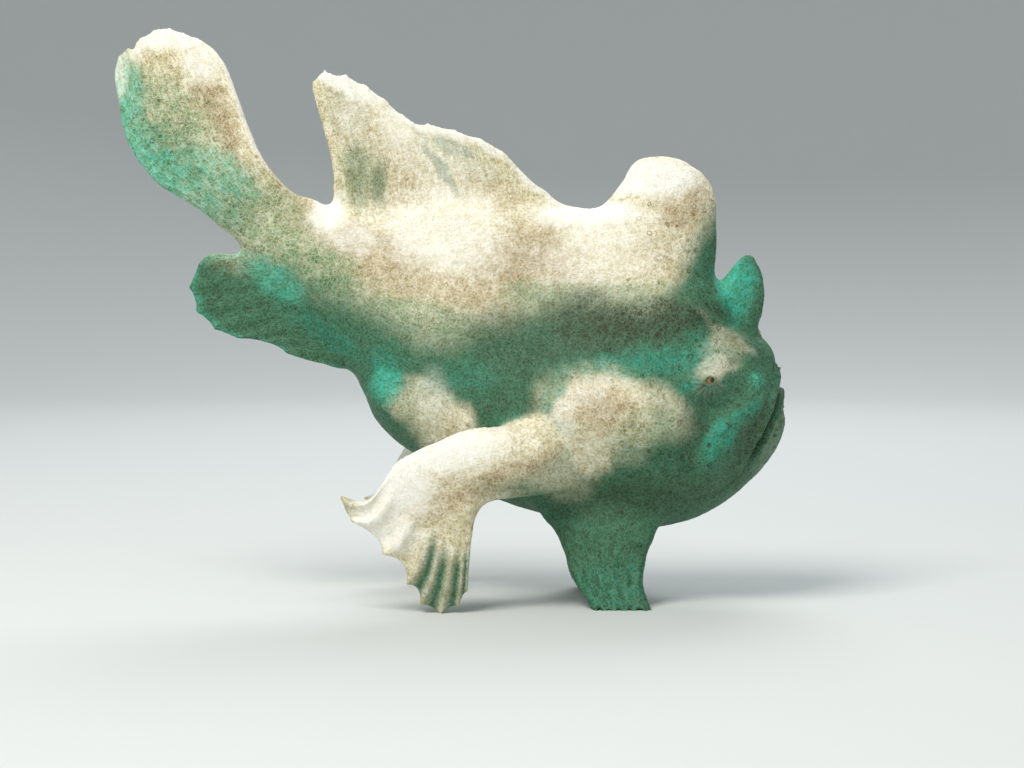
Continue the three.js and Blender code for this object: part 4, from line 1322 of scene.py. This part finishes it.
# Painted highlight
PAINTED_HIGHLIGHT = colour(255, 253, 245)
TIP = colour(214, 186, 112)
NET_ON_LIGHT = colour(255, 250, 232)
NET_ON_SHADE = colour(140, 190, 162)
MARK_TINT = colour(176, 164, 132)
CLOUD_TINT = colour(222, 216, 192)
STREAK_TINT = colour(222, 217, 196)
SPECK_TINT = colour(220, 213, 196)
NET_SPACING = 0.0016
CURL_SIZE = 0.0021
SPECK_SIZE = 0.0009
RING_SPACING = 0.0036
MOTTLE_SIZE = 0.004
SAND_SIZE = 0.009
CLOUD_SIZE = 0.0028
WAVE_SIZE = 0.0013
WAVE_REACH = 0.0014
GRAIN_SIZE = 0.0005
GRAIN_HEIGHT = 0.0004


def net_marks(s, places):
    """A net of pale hair-like lines, some of them curled."""
    edges = s.ranged(s.cells(places, NET_SPACING, feature="DISTANCE_TO_EDGE"), 0.02, 0.13, 0.8, 0.0)
    off_line = s.maths("ABSOLUTE", s.maths("SUBTRACT", s.noise(places, CURL_SIZE, 1.0), 0.5))
    return s.maths("MAXIMUM", edges, s.ranged(off_line, 0.0, 0.03, 1.0, 0.0))


def ring_marks(s, places):
    """Dark rings about two millimetres across, in about half of their cells."""
    distance = s.cells(places, RING_SPACING)
    off_line = s.maths("ABSOLUTE", s.maths("SUBTRACT", distance, 0.22))
    ring = s.ranged(off_line, 0.03, 0.1, 1.0, 0.0)
    lot = s.add("SeparateColor", {"Color": distance.node.outputs["Color"]})
    return s.maths("MULTIPLY", ring, s.ranged(lot, 0.3, 0.7))


def fin_streaks(s):
    """Fine streaks along the rays of the fins."""
    across = s.maths("MULTIPLY", s.mask("across"), 1.1)
    outward = s.maths("MULTIPLY", s.mask("outward"), 0.16)
    lie = s.add("CombineXYZ", {"X": across, "Y": outward})
    return s.maths("MULTIPLY", s.mask("fin"), s.ranged(s.noise(lie, 1.0), 0.45, 0.62))


def skin_base(s, places):
    """The skin's broad colours, by its masks and soft noise, with painted shade, water light and highlights.
    """
    def share(name, least, most):
        return s.maths("MULTIPLY", s.mask(name), s.ranged(mottle, 0.0, 1.0, least, most))

    mottle = s.ranged(s.noise(places, MOTTLE_SIZE), 0.34, 0.62)
    base = s.blended(CREAM, SAND, s.ranged(s.noise(places, SAND_SIZE), 0.38, 0.7, 0.0, 0.7))
    base = s.blended(base, BLOOM, share("bloom", 0.6, 1.0))
    base = s.blended(base, HALF_SHADE_OLIVE, share("half_shade_olive", 0.65, 1.0))
    # Over the own colours: painted shade, water light, deep shade and highlights
    base = s.blended(base, PAINTED_SHADE_GREEN, s.mask("shade"))
    base = s.blended(base, WATER_LIGHT_AQUA, share("water_light_aqua", 0.6, 1.0))
    base = s.blended(base, PAINTED_DEEP_SHADE, share("dark", 0.75, 1.0))
    base = s.blended(base, BRIGHT_WATER_LIGHT, s.mask("bright_water_light"))
    return s.blended(base, PAINTED_HIGHLIGHT, share("pale", 1.0, 0.85))


def skin_colours(s, places, net, marks, specks, calm):
    """The broad colours, and over them the clouds, streaks, specks, rings and the net."""
    clouds = s.ranged(s.noise(places, CLOUD_SIZE), 0.4, 0.62, 0.0, 0.7)
    base = skin_base(s, places)
    base = s.blended(base, CLOUD_TINT, s.maths("MULTIPLY", clouds, calm), "MULTIPLY")
    base = s.blended(base, STREAK_TINT, s.maths("MULTIPLY", fin_streaks(s), calm), "MULTIPLY")
    base = s.blended(base, SPECK_TINT, specks, "MULTIPLY")
    base = s.blended(base, MARK_TINT, marks, "MULTIPLY")
    # The net takes a green tint where the painted shade and water light lie
    deep = s.maths("MAXIMUM", s.mask("shade"), s.maths("MAXIMUM", s.mask("water_light_aqua"), s.mask("bright_water_light")))
    net_tint = s.blended(NET_ON_LIGHT, NET_ON_SHADE, deep)
    base = s.blended(base, net_tint, s.maths("MULTIPLY", net, s.ranged(deep, 0.0, 1.0, 0.36, 0.2)))
    base = s.blended(base, NET_ON_LIGHT, s.maths("MULTIPLY", s.mask("spokes"), 0.5))
    return s.blended(base, TIP, s.maths("MULTIPLY", s.mask("tips"), 0.7))


def skin_relief(s, places, net, marks, specks):
    """Fine grain with the net raised and the rings and specks sunk."""
    grain = s.maths("MULTIPLY", s.noise(places, GRAIN_SIZE), 0.6)
    raised = s.maths("ADD", grain, s.maths("MULTIPLY", net, 0.5))
    height = s.maths("SUBTRACT", raised, s.maths("MULTIPLY", s.maths("ADD", marks, specks), 0.4))
    return s.add("Bump", {"Strength": 0.6, "Distance": GRAIN_HEIGHT, "Height": height})


def skin_material():
    s = Shading("frogfish_skin")
    places = s.add("TexCoord", output="Object")
    moved = s.wavy(places, WAVE_SIZE, WAVE_REACH)
    net = net_marks(s, moved)
    # Marks fade under the painted highlights
    calm = s.ranged(s.mask("pale"), 0.0, 1.0, 1.0, 0.25)
    marks = s.maths("MULTIPLY", s.maths("MULTIPLY", ring_marks(s, moved), s.mask("ringed")), calm)
    specks = s.maths("MULTIPLY", s.ranged(s.noise(places, SPECK_SIZE, 1.0), 0.42, 0.66), calm)
    base = skin_colours(s, places, net, marks, specks, calm)
    relief = skin_relief(s, places, net, marks, specks)
    rough = s.ranged(s.noise(places, MOTTLE_SIZE), 0.3, 0.7, 0.52, 0.66)
    return s.finish(Base_Color=base, Roughness=rough, Normal=relief, Specular_IOR_Level=0.35)


# The eye's colours from its middle out, by the angle off its axis as a share of half a turn
PUPIL = colour(5, 6, 7)
PUPIL_EDGE = (0.105, 0.118)
IRIS_RING = colour(206, 170, 84)
IRIS_RING_EDGE = (0.12, 0.14)
IRIS_GOLD = colour(168, 128, 42)
IRIS_BROWN = colour(92, 76, 26)
EYE_RIM = colour(34, 38, 18)
EYE_RIM_EDGE = (0.22, 0.3)
FIBRE_SIZE = 0.0003


def eye_material():
    s = Shading("frogfish_eye")
    off_axis = s.mask("off_axis")
    fibres = s.noise(s.add("TexCoord", output="Object"), FIBRE_SIZE, 3.0)
    iris = s.blended(IRIS_GOLD, IRIS_BROWN, s.ranged(fibres, 0.35, 0.68))
    iris = s.blended(iris, IRIS_RING, s.ranged(off_axis, *IRIS_RING_EDGE, 0.6, 0.0))
    iris = s.blended(iris, EYE_RIM, s.ranged(off_axis, *EYE_RIM_EDGE))
    look = s.blended(PUPIL, iris, s.ranged(off_axis, *PUPIL_EDGE))
    return s.finish(Base_Color=look, Roughness=0.25, Coat_Weight=1.0, Coat_Roughness=0.03, Coat_IOR=1.38)


def lure_material():
    s = Shading("frogfish_lure")
    places = s.add("TexCoord", output="Object")
    bands = s.ranged(s.add("Math", {0: s.mask("run"), 1: 1.0}, operation="PINGPONG"), 0.4, 0.75)
    base = s.blended(CREAM, BLOOM, s.maths("MULTIPLY", bands, 0.6))
    bumps = s.add("Bump", {"Strength": 0.4, "Distance": 0.0001, "Height": s.noise(places, 0.0004)})
    soft = {"Subsurface_Weight": 0.2, "Subsurface_Scale": 0.001}
    return s.finish(Base_Color=base, Roughness=0.5, Normal=bumps, **soft)


# Putting the pieces in place

def in_place(co):
    """Places in millimetres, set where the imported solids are, in metres."""
    low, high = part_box("eye_right")
    shift = np.array((low + high) / 2) - eye_frame(1)[0] * MM
    return co * MM + shift


def write_attribute(mesh, name, values):
    """Keeps one number for each vertex, which a material's mask reads by its name."""
    attribute = mesh.attributes.new(name, "FLOAT", "POINT")
    attribute.data.foreach_set("value", np.asarray(values, np.float32))


def finish_piece(piece, slot, material, *nodes):
    piece.data.shade_smooth()
    piece.data.materials.append(material)
    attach(piece, "root")
    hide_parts(*nodes)


def sculpted(skin, parts):
    """Works the skin's detail into it, and returns its colour masks."""
    names, part, sheet = labelled(skin, parts)
    blend_joints(skin, names, part)
    skin.smooth(np.full(len(skin.co), 0.5), 2)
    sculpt_folds(skin, skin.normals())
    sculpt_lids(skin)
    raise_grain(skin, skin.normals(), part, names, sheet)
    raise_warts(skin, skin.normals())
    return colour_masks(skin, part, names, sheet)


def make_skin():
    parts = flesh_parts()
    mesh = fused(*joined([(vertices, triangles) for _, vertices, triangles, _ in parts]))
    skin = Skin(mesh)
    masks = sculpted(skin, parts)
    inside_box = np.clip(in_place(skin.co), *cad_box)
    mesh.vertices.foreach_set("co", inside_box.astype(np.float32).ravel())
    for name, values in masks.items():
        write_attribute(mesh, name, values)
    mesh.update()
    flesh = [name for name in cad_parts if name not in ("eye_right", "eye_left", "illicium")]
    finish_piece(placed("skin", mesh), "skin", skin_material(), *flesh)


def make_eye(side, name, material):
    """An eyeball with a slightly bulging cornea, its pole on the way that it looks."""
    centre, out, forward, up = eye_frame(side)
    out = unit(out + EYE["forward"] * forward)
    forward = unit(np.cross(out, up))
    up = np.cross(forward, out)
    turns = np.linspace(0, 2 * math.pi, EYE_TURNS, False)
    tilt, turn = grid(np.linspace(0.01, 0.985, EYE_ROWS) * math.pi, turns)
    ball = EYE["radius"] - EYE["cornea"]
    radius = ball + EYE["cornea"] * bump(tilt, 0.5)
    aside = np.cos(turn)[..., None] * forward + np.sin(turn)[..., None] * up
    ways = np.cos(tilt)[..., None] * out + np.sin(tilt)[..., None] * aside
    rings = centre + radius[..., None] * ways
    vertices, triangles = closed_loft(rings, centre + EYE["radius"] * out, centre - ball * out)
    eye = mesh_object(name + "_ball", in_place(vertices), triangles)
    off_axis = np.arccos(np.clip(unit(vertices - centre) @ out, -1, 1)) / math.pi
    write_attribute(eye.data, "off_axis", off_axis)
    finish_piece(eye, "eye", material, name)


def tube(route, radii, sides):
    """A closed round tube along a route, with its radius at each place."""
    ways = unit(np.gradient(route, axis=0))
    aside = unit(np.cross(ways, (0.3, 1, 0.2)))
    above = np.cross(ways, aside)
    turns = 2 * math.pi * np.arange(sides) / sides
    ring = np.cos(turns)[None, :, None] * aside[:, None] + np.sin(turns)[None, :, None] * above[:, None]
    return closed_loft(route[:, None] + radii[:, None, None] * ring, route[0], route[-1])


def tuft_threads(route, random):
    """Short curled threads that taper, from the end of a route."""
    lie = unit(route[-1] - route[-6])
    t = np.linspace(0, 1, THREAD_PLACES)[:, None]
    threads = []
    for _ in range(TUFT_THREADS):
        aim = unit(lie + random.normal(0, 0.38, 3))
        curl = random.normal(0, 1, 3)
        length = random.uniform(*THREAD_LENGTH)
        thread = route[-2] + t * length * aim + curl * t * t * 0.5
        threads.append(tube(thread, THREAD_RADIUS * (1 - 0.8 * t[:, 0]), THREAD_SIDES))
    return threads


def make_lure():
    route, run = spline(LURE_ROUTE, 120)
    share = run / run[-1]
    radii = mix(LURE_ROOT_RADIUS, LURE_TIP_RADIUS, share) * (1 + 0.05 * np.sin(share * 90))
    threads = tuft_threads(route, np.random.default_rng(5))
    vertices, triangles = joined([tube(route, radii, LURE_SIDES), *threads])
    stalk = np.concatenate([np.repeat(share * LURE_BANDS, LURE_SIDES), [0, LURE_BANDS]])
    lure = mesh_object("lure", in_place(vertices), triangles)
    tuft = np.full(len(vertices) - len(stalk), 0.2)
    write_attribute(lure.data, "run", np.concatenate([stalk, tuft]))
    finish_piece(lure, "lure", lure_material(), "illicium")


# Floor, light and camera, in metres

FLOOR_RADIUS = 1.3
SWEEP_RADIUS = 1.4
STAGE_TURNS = 96


def make_stage():
    """A pale floor that curves up into a wall all round, open at the top."""
    sweep = np.linspace(0.02, math.pi / 2, 40)
    profile = [(FLOOR_RADIUS, 0)]
    profile += [(FLOOR_RADIUS + math.sin(a) * SWEEP_RADIUS, SWEEP_RADIUS * (1 - math.cos(a))) for a in sweep]
    turns = np.linspace(0, 2 * math.pi, STAGE_TURNS, False)
    rings = np.array([[(r * math.cos(a), r * math.sin(a), z) for a in turns] for r, z in profile])
    rows, columns = rings.shape[:2]
    quads = grid_quads(rows, columns, True)[:, ::-1]
    centre = rows * columns
    k = np.arange(columns)
    fan = np.stack([np.full(columns, centre), k, (k + 1) % columns], axis=1)
    vertices = np.concatenate([rings.reshape(-1, 3), [(0, 0, 0)]])
    stage = mesh_object("studio", vertices, np.concatenate([split(quads), fan]))
    stage.data.shade_smooth()
    s = Shading("studio_paint")
    stage.data.materials.append(s.finish(Base_Color=colour(204, 208, 206), Roughness=0.85))


def add_light(name, place, target, size, power, tint=(1, 1, 1)):
    light = bpy.data.lights.new(name, "AREA")
    light.size = size
    light.energy = power
    light.color = tint
    lamp = placed(name, light)
    lamp.location = place
    lamp.rotation_euler = (Vector(target) - Vector(place)).to_track_quat("-Z", "Y").to_euler()


def make_lights():
    middle = (0, 0, 0.1)
    add_light("key", (-0.45, -0.6, 1.15), middle, 0.6, 15, (1, 0.97, 0.92))
    add_light("fill", (1.0, -1.1, 0.45), middle, 1.2, 3.4, (0.9, 0.97, 1))
    add_light("back", (0.2, 1.1, 1.2), middle, 0.9, 12, (0.97, 0.98, 1))


def make_air():
    """Even light from all round, and screen colours shown as they are."""
    world = bpy.data.worlds.new("studio_air")
    world.use_nodes = True
    background = world.node_tree.nodes["Background"]
    background.inputs["Color"].default_value = (0.9, 0.95, 1, 1)
    background.inputs["Strength"].default_value = 0.45
    bpy.context.scene.world = world
    bpy.context.scene.view_settings.view_transform = "Standard"


def make_camera():
    camera = bpy.data.cameras.new("camera")
    camera.lens = LENS
    camera.sensor_width = SENSOR_WIDTH
    camera.clip_start = 0.01
    view = placed("camera", camera)
    view.location = in_place(np.array(CAMERA_PLACE))
    view.rotation_euler = (CAMERA_TILT, 0, 0)
    bpy.context.scene.camera = view


make_camera()
make_skin()
wet_eye = eye_material()
make_eye(1, "eye_right", wet_eye)
make_eye(-1, "eye_left", wet_eye)
make_lure()
make_stage()
make_lights()
make_air()
